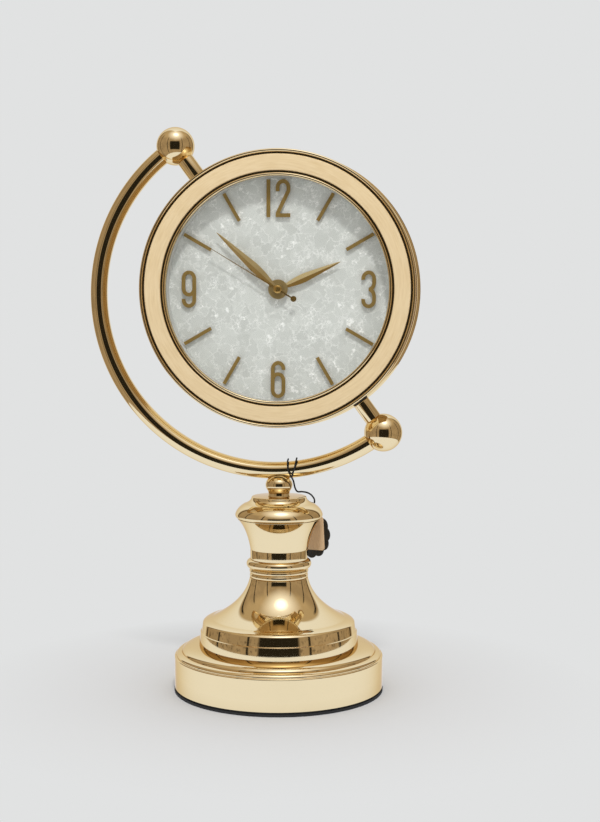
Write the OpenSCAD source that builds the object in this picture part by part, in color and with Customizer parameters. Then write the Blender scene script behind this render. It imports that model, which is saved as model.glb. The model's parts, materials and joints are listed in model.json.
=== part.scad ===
// Table clock: a drum clock head that swivels in a half-ring arm on a turned column.
// Millimetres, +Z up. The origin is the centre of the base on the surface that it stands on.
// The dial faces -Y.

/* [Stand] */
// Radius of the base drum
base_r = 62.6; // [58:0.2:68]
// Thickness of the foam pad
pad_t = 1.5; // [1:0.1:3]
// Thickness of the steel closing plate
plate_t = 1.0; // [0.8:0.1:1.5]
// Straight height of the base drum
drum_h = 19.0; // [15:0.5:24]
// Height of the moulded shoulder between the drum and the second tier
shoulder_h = 6; // [5:0.1:8]
// How far the second tier stands back from the drum
tier_in = 14.7; // [13:0.1:16.5]
// Height of the second tier's wall
tier_h = 13.4; // [12:0.1:15]
// Height of the bell flare above the second tier
bell_h = 26.9; // [22:0.1:32]
// Radius of the waist between the bell and the cup
waist_r = 17.5; // [16:0.1:19]
// Height of the turned waist ring
waist_h = 17; // [16:0.1:19]
// Height of the flared cup
cup_h = 18.5; // [15:0.1:23]
// Radius of the cap's rim
cap_r = 26.3; // [24.5:0.1:29]
// Height of the cap from the cup to its flat top
cap_h = 13.4; // [12:0.1:15]
// Radius of the cap's flat top
cap_top_r = 16.5; // [14:0.1:18]
// Radius of the bead that carries the arm
bead_r = 8.1; // [7:0.1:9.5]
// Wall of the spun and hollow pieces
shell_t = 1.2; // [1:0.1:1.6]
// Thickness of the cast-iron weight
weight_t = 12; // [8:0.5:15]

/* [Arm] */
// Tilt of the swivel axis from the vertical, degrees
tilt = 36.3; // [33:0.1:40]
// Distance from the case's side to the arm's centre line
arm_gap = 24; // [22:0.5:27]
// How deep the arm sinks into the neck's bead
arm_sink = 2.481; // [2:0.001:3.2]
// Distance from the arm's centre to the swivel axis
arm_offset = 4.7; // [3:0.1:6]
// Radius of the arm's tube
tube_r = 5; // [4.4:0.1:5.6]
// Wall of the arm's tube
tube_t = 1.0; // [0.8:0.1:1.4]
// Radius of the end balls
ball_r = 11.3; // [10.4:0.1:12.5]
// Radius of the swivel pins
pin_r = 5; // [4.4:0.1:5.6]
// Radius of the pivot screws' shanks
pivot_r = 2; // [1.6:0.1:2.4]

/* [Case] */
// Outer radius of the case's front
case_r = 81; // [78:0.2:84]
// How far the case widens to its back edge
flare_out = 2.4; // [1.5:0.1:3]
// Depth of the case, front to back
case_d = 36; // [35:0.5:38]
// Wall of the case
case_t = 1.4; // [1.2:0.1:1.8]
// Width of the polished outer rim
rim_w = 1.8; // [1.4:0.1:2.4]
// Width of the polished flats on both sides of the brushed ring
flat_w = 1.25; // [0.9:0.05:1.5]
// Depth of the front rim, in front of the joint with the case
rim_d = 4; // [3.5:0.1:4.6]
// Width of the channel that holds the brushed ring
brushed_w = 9.5; // [8:0.1:11]
// Thickness of the brushed ring
brushed_t = 1.1; // [1:0.1:1.4]
// Width of the rounded lip around the opening
lip_w = 1.8; // [1.4:0.1:2.2]
// Depth of the dial behind the front of the case
dial_depth = 13.5; // [12.8:0.1:14.2]
// Thickness of the glass
lens_t = 2; // [1.6:0.1:2.2]
// Depth of the glass behind the front of the case
lens_depth = 3; // [2.8:0.1:3.2]

/* [Dial] */
// Thickness of the dial
dial_t = 1; // [0.8:0.1:1.2]
// Thickness of the plate behind the dial
dial_plate_t = 0.8; // [0.6:0.1:1]
// Gap between the hour markers' outer ends and the edge of the opening
marker_in = 0.8; // [0.5:0.1:2]
// Length of the hour markers
marker_l = 18.4; // [14:0.1:20]
// Width of the hour markers
marker_w = 2; // [1.4:0.1:2.6]
// Thickness of the markers and numerals
marker_t = 1.2; // [0.8:0.1:1.4]
// Gap between the dial and the raised markers and numerals
marker_gap = 1.2; // [0.8:0.1:1.4]
// Height of the numerals
numeral_h = 22; // [19:0.1:23]
// Width of a numeral
numeral_w = 8.6; // [8:0.1:9.4]
// Stroke of the numerals
stroke = 2.2; // [1.8:0.1:2.4]
// How far the numerals stand inside the markers' outer ends
numeral_in = 0.4; // [0.2:0.1:2]

/* [Hands] */
// Length of the hour hand from the centre to its tip
hour_l = 40; // [34:0.5:44]
// Length of the minute hand
minute_l = 49; // [44:0.5:56]
// Length of the second hand
second_l = 47; // [42:0.5:56]
// Widest part of the hour hand's blade
hour_w = 5.2; // [4:0.1:6.4]
// Widest part of the minute hand's blade
minute_w = 5.4; // [4:0.1:6.4]
// Width of the second hand
second_w = 0.9; // [0.6:0.1:1.2]
// Radius of the hour hand's disc
hub_r = 5.75; // [5.3:0.05:6.4]
// Hour hand, degrees past twelve
hour_turn = 66.3; // [0:0.1:360]
// Minute hand, degrees past twelve
minute_turn = 312.5; // [0:0.1:360]
// Second hand, degrees past twelve
second_turn = 301; // [0:0.1:360]

/* [Movement] */
// Side of the square movement
movement_w = 56; // [55.6:0.1:57]
// Thickness of the movement
movement_d = 16.5; // [16.4:0.1:16.6]
// Wall of the movement's housing
housing_t = 1.6; // [1.5:0.1:1.7]
// Radius of the battery
cell_r = 7.25; // [7:0.05:7.25]
// Length of the battery without its stud
cell_l = 49.2; // [48:0.1:49.3]
// Radius of the threaded bush
bush_r = 3.9; // [3.6:0.1:4]
// Radius of the setting knob
knob_r = 6; // [5:0.1:6.3]
// Tooth module of the motion work
motion_m = 0.48; // [0.46:0.005:0.48]
// Tooth module of the third wheel and the seconds pinion
third_m = 0.31; // [0.3:0.002:0.312]
// Tooth module of the intermediate wheel and the rotor pinion
fast_m = 0.3; // [0.28:0.005:0.31]

/* [Tag] */
// Width of the tag
tag_w = 33; // [28:0.5:35]
// Height of the tag
tag_h = 30; // [26:0.5:33]
// Thickness of the tag
tag_t = 0.8; // [0.6:0.1:1.2]
// Radius of the string
string_r = 0.5; // [0.4:0.05:0.6]

/* [Hidden] */
$fn = 96;

// Shared by all pieces
cut = 1;              // overrun of a cut past the face that it opens
fit = 0.05;           // radial clearance of threads, seats and running fits
seat = 0.3;           // gap that keeps a moving piece clear of its neighbour
curve_steps = 12;     // points along a curve of a profile

function arc(c, r, from, to, n = curve_steps) =
    [for (i = [0 : n]) let (a = from + (to - from) * i / n) c + r * [cos(a), sin(a)]];
function oval(c, rx, ry, from, to, n = curve_steps) =
    [for (i = [0 : n]) let (a = from + (to - from) * i / n) c + [rx * cos(a), ry * sin(a)]];
function curve(p, q, s, n = curve_steps) =
    [for (i = [0 : n]) let (t = i / n) (1 - t) * (1 - t) * p + 2 * t * (1 - t) * q + t * t * s];
function reversed(list) = [for (i = [len(list) - 1 : -1 : 0]) list[i]];

// A flat ring or disc, standing on z
module ring(outer, inner, z, h) {
    translate([0, 0, z])
        difference() {
            cylinder(r = outer, h = h);
            translate([0, 0, -cut]) cylinder(r = inner, h = h + 2 * cut);
        }
}

module turned(profile) { rotate_extrude() polygon(profile); }

// Heights of the stand, from the table up
tier_r = base_r - tier_in;
plate_z = pad_t;
drum_z = plate_z + plate_t;
drum_top = drum_z + drum_h;
base_top = drum_top + shoulder_h;
tier_top = base_top + tier_h;
bell_top = tier_top + bell_h;
waist_top = bell_top + waist_h;
cup_top = waist_top + cup_h;
cap_top = cup_top + cap_h;

// Base drum
edge_r = 0.8;         // rounding of the drum's top edge
step_w = 0.3;         // step between the drum's edge and the first moulding
mould_w = 3.8;        // width of the first moulding
mould_h = 2.1;        // its height
mould_turn = 80;      // angle at which it ends
groove = 0.7;         // depth of the grooves between the mouldings
ledge_w = 8;          // width of the flange that the second tier stands on

function drum_profile() = let (
    lip = [base_r - edge_r, drum_top - edge_r],
    mould = [lip[0] - step_w - mould_w, drum_top + step_w],
    foot = mould + [mould_w * cos(mould_turn) - groove / 2, mould_h * sin(mould_turn) - step_w / 2]
) concat(
    [[base_r, drum_z]],
    arc(lip, edge_r, 0, 90, 4),
    [[lip[0] - step_w, drum_top]],
    oval(mould, mould_w, mould_h, 0, mould_turn, 8),
    oval([tier_r, foot[1]], foot[0] - tier_r, base_top - foot[1], 0, 90)
);

// Second tier and bell
tier_step = 1.9;      // how far the top of the tier's wall stands back
tier_lean = 0.8;      // how far the tier's lower band leans in
tier_band = 7.8;      // height of the tier's lower band
brow_w = 5.5;         // width of the rounded brow above the tier
brow_h = 2.6;         // height of the brow
flare_share = 0.86;   // pull of the bell's curve towards the axis, of the way from brow to waist
flare_rise = 0.39;    // rise of that pull, of the bell's height above the brow

function bell_profile() = let (
    band = tier_r - tier_step - groove / 2,
    brow = [band - brow_w, tier_top + brow_h]
) concat(
    [[tier_r, base_top], [tier_r - tier_lean, base_top + tier_band]],
    [[band + groove, base_top + tier_band + groove / 2], [band, tier_top]],
    curve([band, tier_top], [band - groove, tier_top + brow_h * 2 / 3], brow),
    curve(brow, brow + [flare_share * (waist_r - brow[0]), flare_rise * (bell_top - brow[1])], [waist_r, bell_top])
);

// Waist ring
ring_bead = 1.4;      // half the height of each thin bead
torus_w = 2.8;        // half the height of the torus
torus_out = 2;        // how far the torus stands out from the waist
waist_bore = 12;      // bore through the waist and the cup

bead_step = 0.25;     // how far the upper thin bead stands out from the lower one
band_in = 0.3;        // how far the plain band above the torus stands in

function waist_profile() = let (
    low = bell_top + ring_bead,
    high = bell_top + 3 * ring_bead,
    torus = bell_top + 4 * ring_bead + torus_w,
    band = waist_r - band_in
) concat(
    [[waist_bore, bell_top], [waist_r - groove, bell_top]],
    oval([waist_r - groove, low], groove + fit, ring_bead, -90, 90, 8),
    oval([waist_r - groove, high], groove + bead_step, ring_bead, -90, 90, 8),
    oval([waist_r - groove, torus], torus_out + groove, torus_w, -90, 90),
    [[band, torus + torus_w], [band, waist_top], [waist_bore, waist_top]]
);

// Cup and cap
cup_bulge = 1.7;      // how far the cup's flare stays in before it opens
cup_lip = 1.3;        // how far the cup's top edge stays inside the cap's rim
cap_rim = 2.4;        // half the height of the cap's rounded rim
cap_rise = 6.6;       // height from the rim to where the shoulder turns hollow

function cup_profile() = concat(
    [[waist_bore, waist_top]],
    curve([waist_r - band_in, waist_top], [waist_r + cup_bulge, waist_top + cup_h * 2 / 3], [cap_r - cup_lip, cup_top]),
    [[cap_r - cup_lip - 2 * shell_t, cup_top]],
    reversed(curve([waist_bore, waist_top + 2 * shell_t],
        [waist_bore + cup_bulge, waist_top + cup_h * 2 / 3], [cap_r - cup_lip - 2 * shell_t, cup_top], 6))
);

knee_share = 0.45;    // where the shoulder turns hollow, of the way from its top to its rim
rim_turn = 20;        // angle at which the rounded rim passes into the shoulder

function cap_profile() = let (
    rim = [cap_r - cap_rim, cup_top + cap_rim],
    knee = [cap_top_r + (cap_r - cap_top_r) * knee_share, cup_top + cap_rise + cap_rim]
) concat(
    arc(rim, cap_rim, -90, rim_turn, 8),
    curve(rim + polar(cap_rim, rim_turn), [cap_r - cap_rim / 2, knee[1] - cap_rim], knee, 8),
    curve(knee, [cap_top_r + groove, knee[1] + cap_rim / 2], [cap_top_r, cap_top - edge_r], 8),
    arc([cap_top_r - edge_r, cap_top - edge_r], edge_r, 0, 90, 4)
);

// Neck bead
collar_h = 3.4;       // height of the collar
collar_waist = 0.4;   // how far it draws in
bead_ry = 6.2;        // half the height of the flattened ball
bead_cut = 34;        // angle at which the ball meets the collar
collar_r = bead_r * cos(bead_cut);
bead_z = cap_top + collar_h + bead_ry * sin(bead_cut);

// Tie rod, nut and washer
rod_r = 3;            // radius of the tie rod
rod_clear = 0.3;      // clearance of the tie rod's holes
dish_r = 14;          // radius of the dish in the closing plate
dish_h = 7.6;         // depth of that dish
nut_h = 4.8;          // height of the tie rod's nut
nut_af = 10;          // width across its flats
washer_r = 8;         // radius of its washer
washer_t = 1.2;       // thickness of its washer
rod_top = bead_z;     // the rod ends inside the neck's bead
rod_low = plate_z + dish_h - plate_t - washer_t - nut_h - seat;

// The clock's own frame: x to the right, y up, z towards the viewer
module in_clock() { translate([0, 0, clock_h]) rotate([90, 0, 0]) children(); }

// Along the swivel axis from the clock's centre: side 1 is the upper pivot, -1 the lower one
module along_axis(side) { rotate([0, 0, tilt + 90 * (1 - side)]) rotate([-90, 0, 0]) children(); }

// Arm and swivel
arm_r = case_r + arm_gap;
arm_centre = -arm_offset * [cos(tilt), sin(tilt)];
arm_low = bead_z + bead_ry + tube_r - arm_sink;      // height of the tube's centre line over the neck
clock_h = arm_low - arm_centre[1] + sqrt(arm_r * arm_r - arm_centre[0] * arm_centre[0]);
ball_reach = sqrt(arm_r * arm_r - arm_offset * arm_offset);
arm_half = 90 + asin(arm_offset / arm_r);
arm_start = tilt + 180 - arm_half;
tube_sink = 5;        // how deep the tube and the pin sit in a ball
tube_end = asin((ball_r - tube_sink) / arm_r);
pin_washer_t = 0.8;   // thickness of the pivot washers
pin_base = case_r + seat + pin_washer_t;
pin_end = ball_reach - ball_r + tube_sink;
pivot_reach = 10;     // how deep the pivot screw threads into the pin
boss_r = 6;           // radius of the bosses inside the case
boss_h = 4.6;         // how far they stand in from the case's wall
screw_head_r = 3.6;   // radius of the pivot screw's head
screw_head_h = 2;     // height of that head
slot_w = 0.9;         // width of screw slots
slot_d = 0.8;         // depth of screw slots

// Case, front module and dial, as heights in the clock's frame
opening_r = case_r - rim_w - 2 * flat_w - brushed_w - lip_w;
marker_r = opening_r - marker_in;
numeral_r = marker_r - numeral_h / 2 - numeral_in;
flare_d = 10;         // depth over which the case widens to its back edge
front_z = case_d / 2;
joint_z = front_z - rim_d;
lens_z = front_z - lens_depth - lens_t;
dial_z = front_z - dial_depth;
plate_back = dial_z - dial_t - dial_plate_t;
sleeve_t = 1.8;       // wall of the bezel's sleeve
lens_land = 4.6;      // width of the land that the glass rests on
sleeve_r = opening_r + lens_land;
spigot_d = 6;         // depth of the bezel's spigot in the case
cover_in = 1.5;       // how deep the back cover sits in the case
cover_t = 1.5;        // thickness of the back cover
cover_z = -front_z + cover_in;
cover_ledge = 3.6;    // width of the ledge under the back cover
window_gap = 1.5;     // gap between the movement and the window in the back cover
window_w = movement_w + 2 * window_gap;
cover_screw_in = 5.2; // how far the cover's screws stand inside the case's wall
cover_screw_r = case_r - case_t - cover_screw_in;
cover_boss_r = 3;     // radius of their bosses
cover_boss_h = 9;     // height of their bosses
cover_shank_r = 1.2;  // radius of their shanks

// Movement, as heights and places in the clock's frame
rubber_t = 0.6;       // thickness of the rubber washer
move_front = plate_back - rubber_t;
move_back = move_front - movement_d;
cavity_front = move_front - housing_t;
cavity_back = move_back + housing_t;
split_in = 6.2;       // depth of the housing's joint behind the front wall's inner face
split_z = cavity_front - split_in;
cell_gap = 0.15;      // gap under the battery
cell_side = 1.6;      // gap between the battery and the housing's lower face
cell_z = move_back + cell_r + cell_gap;
cell_y = -movement_w / 2 + cell_side + cell_r;
bay_gap = 0.4;        // gap above the battery
bay_top = cell_y + cell_r + bay_gap;
bay_wall = 1.5;       // wall between the battery's bay and the gears
bay_lip = 0.8;        // wall under the battery's bay
bay_front_gap = 0.1;  // gap in front of the battery
cavity_low = bay_top + bay_wall;
cavity_high = movement_w / 2 - housing_t;
housing_corner = 3;   // rounding of the housing's corners
train_gap = 5.7;      // space between the front wall and the train plate
train_t = 1;          // thickness of the train plate
train_z = cavity_front - train_gap - train_t;
wheel_t = 0.8;        // thickness of the train's wheels
work_t = 1.4;         // thickness of the motion work's wheels
hour_wheel_t = 1;     // thickness of the hour wheel
wheel_gap = 0.3;      // gap between a wheel and its neighbour
pipe_minute_r = 1.7;  // radius of the minute hand's pipe
pipe_hour_r = 2.5;    // radius of the hour hand's pipe
arbor_r = 0.6;        // radius of the arbors
pivot_depth = 1;      // how deep the arbors sit in the housing
pinion_more = 0.4;    // how far a pinion is longer than its wheel, at each end
level = wheel_t + groove;                 // distance from one wheel of the train to the next
hour_wheel_z = cavity_front - wheel_gap - hour_wheel_t;
cannon_z = hour_wheel_z - groove - work_t;
centre_z = cannon_z - 2 * wheel_gap - wheel_t - wheel_gap;
third_z = train_z - wheel_gap - wheel_t - fit * 2;
seconds_z = third_z - level;
fast_z = seconds_z - level;
arbor_back = cavity_back - pivot_depth;
arbor_front = cavity_front + pivot_depth - fit;
pipe_sink = 0.2;      // how deep the pipe and the short arbors sit in the train plate
arbor_mid = train_z + train_t - pipe_sink;

// Teeth of each wheel and pinion
cannon_n = 12;
motion_n = 36;
motion_pinion_n = 10;
hour_n = 40;
knob_n = 12;
centre_n = 64;
third_pinion_n = 8;
third_n = 60;
seconds_pinion_n = 8;
seconds_n = 40;
fast_pinion_n = 8;
fast_n = 36;
rotor_n = 6;

// Where the arbors stand
motion_reach = motion_m * (cannon_n + motion_n) / 2;
hour_m = 2 * motion_reach / (motion_pinion_n + hour_n);
third_reach = third_m * (seconds_pinion_n + third_n) / 2;
centre_m = 2 * third_reach / (third_pinion_n + centre_n);
fast_reach = fast_m * (fast_pinion_n + seconds_n) / 2;
rotor_reach = fast_m * (rotor_n + fast_n) / 2;
motion_dir = 135;
knob_dir = 120;
third_dir = 8;
fast_dir = 115;
rotor_dir = 75;
function polar(r, a) = r * [cos(a), sin(a)];
motion_at = polar(motion_reach, motion_dir);
knob_at = motion_at + polar(motion_m * (knob_n + motion_n) / 2, knob_dir);
third_at = polar(third_reach, third_dir);
fast_at = polar(fast_reach, fast_dir);
rotor_at = fast_at + polar(rotor_reach, rotor_dir);

// Turn of gear 2 that puts it in mesh with gear 1, when gear 2 lies in direction dir from gear 1
function mesh_turn(dir, n1, turn1, n2) = dir + 180 - 360 / n2 * (0.5 - (dir - turn1) * n1 / 360);
cannon_turn = motion_dir;
motion_turn = mesh_turn(motion_dir, cannon_n, cannon_turn, motion_n);
knob_turn = mesh_turn(knob_dir, motion_n, motion_turn, knob_n);
motion_pinion_turn = motion_dir;
hour_wheel_turn = mesh_turn(motion_dir + 180, motion_pinion_n, motion_pinion_turn, hour_n);
seconds_pinion_turn = third_dir;
third_turn = mesh_turn(third_dir, seconds_pinion_n, seconds_pinion_turn, third_n);
third_pinion_turn = third_dir;
centre_turn = mesh_turn(third_dir + 180, third_pinion_n, third_pinion_turn, centre_n);
fast_pinion_turn = fast_dir;
seconds_wheel_turn = mesh_turn(fast_dir + 180, fast_pinion_n, fast_pinion_turn, seconds_n);
fast_turn = 0;
rotor_turn = mesh_turn(rotor_dir, fast_n, fast_turn, rotor_n);

// A toothed wheel: n teeth of module m, h thick, standing on z
tip_share = 0.9;
root_share = 1.25;
module gear(n, m, z, h, bore = 0, turn = 0, tooth_share = 0.42) {
    tip = m * (n / 2 + tip_share);
    root = m * (n / 2 - root_share);
    half_share = [tooth_share * 1.25, tooth_share * 1.02, tooth_share * 0.4];
    radius = [root, m * n / 2, tip];
    teeth = [for (i = [0 : n - 1]) for (k = [-3 : 2])
        let (j = k < 0 ? k + 3 : 2 - k)
        polar(radius[j], turn + 360 / n * (i + (k < 0 ? -1 : 1) * half_share[j] / 2))];
    translate([0, 0, z])
        difference() {
            linear_extrude(h) polygon(teeth);
            if (bore > 0)
                translate([0, 0, -cut]) cylinder(r = bore, h = h + 2 * cut, $fn = 48);
        }
}

module shaft(r, from, to, at = [0, 0]) {
    translate([at[0], at[1], from]) cylinder(r = r, h = to - from, $fn = 32);
}

module box_between(low, high) { translate(low) cube(high - low); }

// Stand
pad_out = 0.2;        // how far the pad stands out from the drum

module base_pad() {
    color("black") cylinder(r = base_r + pad_out, h = pad_t);
}

module base_plate() {
    color("dimgray")
        turned([
            [base_r - shell_t, plate_z], [base_r - shell_t, drum_z], [dish_r + plate_t, drum_z],
            [dish_r, plate_z + dish_h], [rod_r + rod_clear, plate_z + dish_h],
            [rod_r + rod_clear, plate_z + dish_h - plate_t], [dish_r - plate_t, plate_z + dish_h - plate_t],
            [dish_r, plate_z]
        ]);
}

module base_weight() {
    color("darkslategray")
        difference() {
            cylinder(r = base_r - 4 * shell_t, h = drum_z + weight_t);
            translate([0, 0, -cut]) cylinder(r = base_r, h = drum_z + cut);
            translate([0, 0, -cut]) cylinder(r = dish_r + 2 * plate_t, h = drum_z + weight_t + 2 * cut);
        }
}

module base_shell() {
    outside = drum_profile();
    inside = [for (p = outside) [p[0] - shell_t, max(p[1] - shell_t, drum_z)]];
    color("goldenrod")
        turned(concat(outside, [[tier_r - ledge_w, base_top], [tier_r - ledge_w, base_top - shell_t]], reversed(inside)));
}

module tier_shell() {
    outside = bell_profile();
    inside = [for (p = outside) [p[0] - shell_t, max(p[1] - shell_t, base_top)]];
    color("gold")
        turned(concat(outside, [[waist_bore, bell_top], [waist_bore, bell_top - shell_t]], reversed(inside)));
}

module waist_ring() { color("goldenrod") turned(waist_profile()); }

module column_cup() { color("gold") turned(cup_profile()); }

module column_cap() {
    hollow_r = cap_top_r - 2 * shell_t;
    color("goldenrod")
        difference() {
            turned(concat([[0, cup_top]], cap_profile(), [[0, cap_top]]));
            translate([0, 0, cup_top - cut]) cylinder(r = hollow_r, h = cap_h - 2 * shell_t + cut);
            translate([0, 0, cup_top]) cylinder(r = rod_r + rod_clear, h = cap_h + cut);
        }
}

module neck_bead() {
    bead = concat([[0, cap_top], [collar_r, cap_top], [collar_r - collar_waist, cap_top + collar_h / 2]],
        oval([0, bead_z], bead_r, bead_ry, -bead_cut, 90, 16));
    color("gold")
        difference() {
            turned(bead);
            in_clock() arm_torus(tube_r + fit);
            translate([0, 0, cap_top - cut]) cylinder(r = rod_r + fit, h = rod_top - cap_top + cut);
            translate([0, 0, cap_top]) cylinder(r = stud_r + fit, h = clock_h);
        }
}

module tie_rod() {
    color("silver") translate([0, 0, rod_low]) cylinder(r = rod_r, h = rod_top - rod_low - seat);
}

module tie_rod_washer() {
    color("silver") ring(washer_r, rod_r + fit, plate_z + dish_h - plate_t - washer_t, washer_t);
}

module tie_rod_nut() {
    color("silver")
        translate([0, 0, plate_z + dish_h - plate_t - washer_t - nut_h])
            difference() {
                cylinder(r = nut_af / sqrt(3), h = nut_h, $fn = 6);
                translate([0, 0, -cut]) cylinder(r = rod_r + fit, h = nut_h + 2 * cut);
            }
}

// Arm
stud_r = 1.8;         // radius of the stud between neck and arm
stud_low = rod_top + seat;
stud_top = arm_low + tube_r / 2;

module arm_torus(r, trim = 0) {
    translate([arm_centre[0], arm_centre[1], 0])
        rotate([0, 0, arm_start + trim])
            rotate_extrude(angle = 2 * (arm_half - trim)) translate([arm_r, 0]) circle(r = r);
}

module arm() {
    color("gold")
        difference() {
            in_clock()
                translate([arm_centre[0], arm_centre[1], 0])
                    rotate([0, 0, arm_start + tube_end])
                        rotate_extrude(angle = 2 * (arm_half - tube_end))
                            translate([arm_r, 0])
                                difference() {
                                    circle(r = tube_r);
                                    circle(r = tube_r - tube_t);
                                }
            translate([0, 0, arm_low - tube_r - cut]) cylinder(r = stud_r + fit, h = tube_r + cut);
        }
}

module arm_stud() {
    color("silver") translate([0, 0, stud_low]) cylinder(r = stud_r, h = stud_top - stud_low);
}

module arm_nut() {
    color("silver")
        difference() {
            translate([0, 0, arm_low])
                rotate([0, 90, 0]) cylinder(r = tube_r - tube_t - seat, h = 2 * tube_r, center = true);
            translate([0, 0, arm_low - tube_r]) cylinder(r = stud_r + fit, h = stud_top - arm_low + tube_r + seat);
        }
}

module end_ball(side) {
    color("gold")
        in_clock()
            difference() {
                along_axis(side) translate([0, 0, ball_reach]) sphere(r = ball_r);
                arm_torus(tube_r + fit, tube_end);
                along_axis(side) translate([0, 0, pin_end - ball_r]) cylinder(r = pin_r + fit, h = ball_r);
            }
}

module upper_ball() { end_ball(1); }

module lower_ball() { end_ball(-1); }

module swivel_pin(side) {
    color("gold")
        in_clock() along_axis(side)
            difference() {
                translate([0, 0, pin_base]) cylinder(r = pin_r, h = pin_end - pin_base);
                translate([0, 0, pin_base - cut]) cylinder(r = pivot_r + fit, h = pivot_reach + cut + seat);
            }
}

module upper_pin() { swivel_pin(1); }

module lower_pin() { swivel_pin(-1); }

module pivot_screws() {
    color("silver")
        in_clock() for (side = [-1, 1]) along_axis(side)
            difference() {
                union() {
                    translate([0, 0, case_r - case_t - boss_h - fit - screw_head_h])
                        cylinder(r = screw_head_r, h = screw_head_h);
                    translate([0, 0, case_r - case_t - boss_h - fit - cut])
                        cylinder(r = pivot_r, h = pin_base + pivot_reach - case_r + case_t + boss_h + fit + cut);
                }
                translate([-screw_head_r, -slot_w / 2, case_r - case_t - boss_h - fit - screw_head_h - cut])
                    cube([2 * screw_head_r, slot_w, slot_d + cut]);
            }
}

module pivot_washers() {
    color("dimgray")
        in_clock() for (side = [-1, 1]) along_axis(side) ring(pin_r - fit, pivot_r + fit, case_r + seat, pin_washer_t);
}

// Case
module at_cover_screws() {
    for (a = [15 : 90 : 285]) rotate([0, 0, a]) translate([cover_screw_r, 0, 0]) children();
}

module case_shell() {
    wall_in = case_r - case_t;
    ledge_z = cover_z + cover_t;
    flare = curve([case_r, flare_d - front_z], [case_r, flare_d / 3 - front_z], [case_r + flare_out, edge_r - front_z]);
    back_edge = arc([case_r + flare_out - edge_r, edge_r - front_z], edge_r, -90, 0, 4);
    color("khaki")
        in_clock()
            difference() {
                union() {
                    turned(concat([
                        [case_r, joint_z], [wall_in, joint_z], [wall_in, ledge_z + case_t],
                        [wall_in - cover_ledge, ledge_z + case_t], [wall_in - cover_ledge, ledge_z],
                        [wall_in, ledge_z], [wall_in, -front_z]], back_edge, reversed(flare)
                    ));
                    for (side = [-1, 1]) along_axis(side)
                        translate([0, 0, wall_in - boss_h]) cylinder(r = boss_r, h = boss_h + case_t / 2);
                    at_cover_screws()
                        translate([0, 0, ledge_z + seat]) cylinder(r = cover_boss_r, h = cover_boss_h);
                }
                for (side = [-1, 1]) along_axis(side)
                    translate([0, 0, wall_in - boss_h - cut]) cylinder(r = pivot_r + fit, h = boss_h + case_t + 2 * cut);
                at_cover_screws()
                    translate([0, 0, ledge_z - cut]) cylinder(r = cover_shank_r + fit, h = cover_boss_h);
            }
}

rim_in = case_r - rim_w;                  // inner radius of the polished rim
channel_out = rim_in - flat_w;            // outer radius of the brushed ring's channel
channel_in = channel_out - brushed_w;     // inner radius of that channel
flat_z = front_z - rim_w / 2;             // height of the polished flats
floor_z = front_z - seat - brushed_t;     // floor of the channel

module bezel_rim() {
    spigot_out = case_r - case_t - fit;
    color("goldenrod")
        in_clock()
            turned(concat(
                [[case_r, joint_z]],
                arc([case_r - rim_w / 2, flat_z], rim_w / 2, 0, 180),
                [[channel_out, flat_z], [channel_out, floor_z], [channel_in, floor_z], [channel_in, flat_z]],
                arc([opening_r + lip_w / 2, flat_z], lip_w / 2, 0, 180),
                [[opening_r, lens_z + lens_t], [sleeve_r, lens_z + lens_t], [sleeve_r, dial_z - dial_t],
                [sleeve_r + sleeve_t, dial_z - dial_t], [sleeve_r + sleeve_t, lens_z + lens_t],
                [spigot_out - sleeve_t, lens_z + lens_t], [spigot_out - sleeve_t, joint_z - spigot_d],
                [spigot_out, joint_z - spigot_d], [spigot_out, joint_z]]
            ));
}

module bezel_face() {
    color("burlywood") in_clock() ring(channel_out - fit, channel_in + fit, floor_z, brushed_t);
}

module lens() {
    color("lightblue", 0.4) in_clock() translate([0, 0, lens_z]) cylinder(r = sleeve_r - fit, h = lens_t);
}

module rehaut_ring() {
    color("white") in_clock() ring(sleeve_r - fit, opening_r, dial_z, lens_z - dial_z);
}

// Dial
module dial() {
    color("whitesmoke") in_clock() ring(sleeve_r - fit, bush_r + seat, dial_z - dial_t, dial_t);
}

module dial_plate() {
    color("silver") in_clock() ring(sleeve_r + sleeve_t, bush_r + seat, plate_back, dial_plate_t);
}

marker_z = dial_z + marker_gap;
leg_r = 0.5;          // radius of the legs under the markers and numerals

module leg(x, y) { translate([x, y, dial_z]) cylinder(r = leg_r, h = marker_gap + marker_t / 2, $fn = 24); }

module hour_markers() {
    color("darkgoldenrod")
        in_clock() for (hour = [1, 2, 4, 5, 7, 8, 10, 11]) rotate([0, 0, -30 * hour]) {
            translate([-marker_w / 2, marker_r - marker_l, marker_z]) cube([marker_w, marker_l, marker_t]);
            leg(0, marker_r - marker_l / 6);
            leg(0, marker_r - marker_l * 5 / 6);
        }
}

// Stroke of a numeral along an arc of radii rx, ry measured on its centre line
module arc_stroke(c, rx, ry, from, to) {
    half = stroke / 2;
    polygon(concat(oval(c, rx + half, ry + half, from, to), oval(c, rx - half, ry - half, to, from)));
}

module bar_stroke(p, q) {
    d = (q - p) / norm(q - p) * stroke / 2;
    side = [-d[1], d[0]];
    polygon([p + side, q + side, q - side, p - side]);
}

// Raised numeral at its place on the dial, with legs at the given points
module raised(x, y, legs) {
    translate([x, y, marker_z]) linear_extrude(marker_t) children();
    for (p = legs) leg(x + p[0], y + p[1]);
}

numeral_mid = (numeral_w - stroke) / 2;       // half the width on the stroke's centre line
numeral_top = (numeral_h - stroke) / 2;       // half the height on the stroke's centre line
numeral_ry = numeral_mid * 1.15;              // height radius of the round ends

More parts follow.
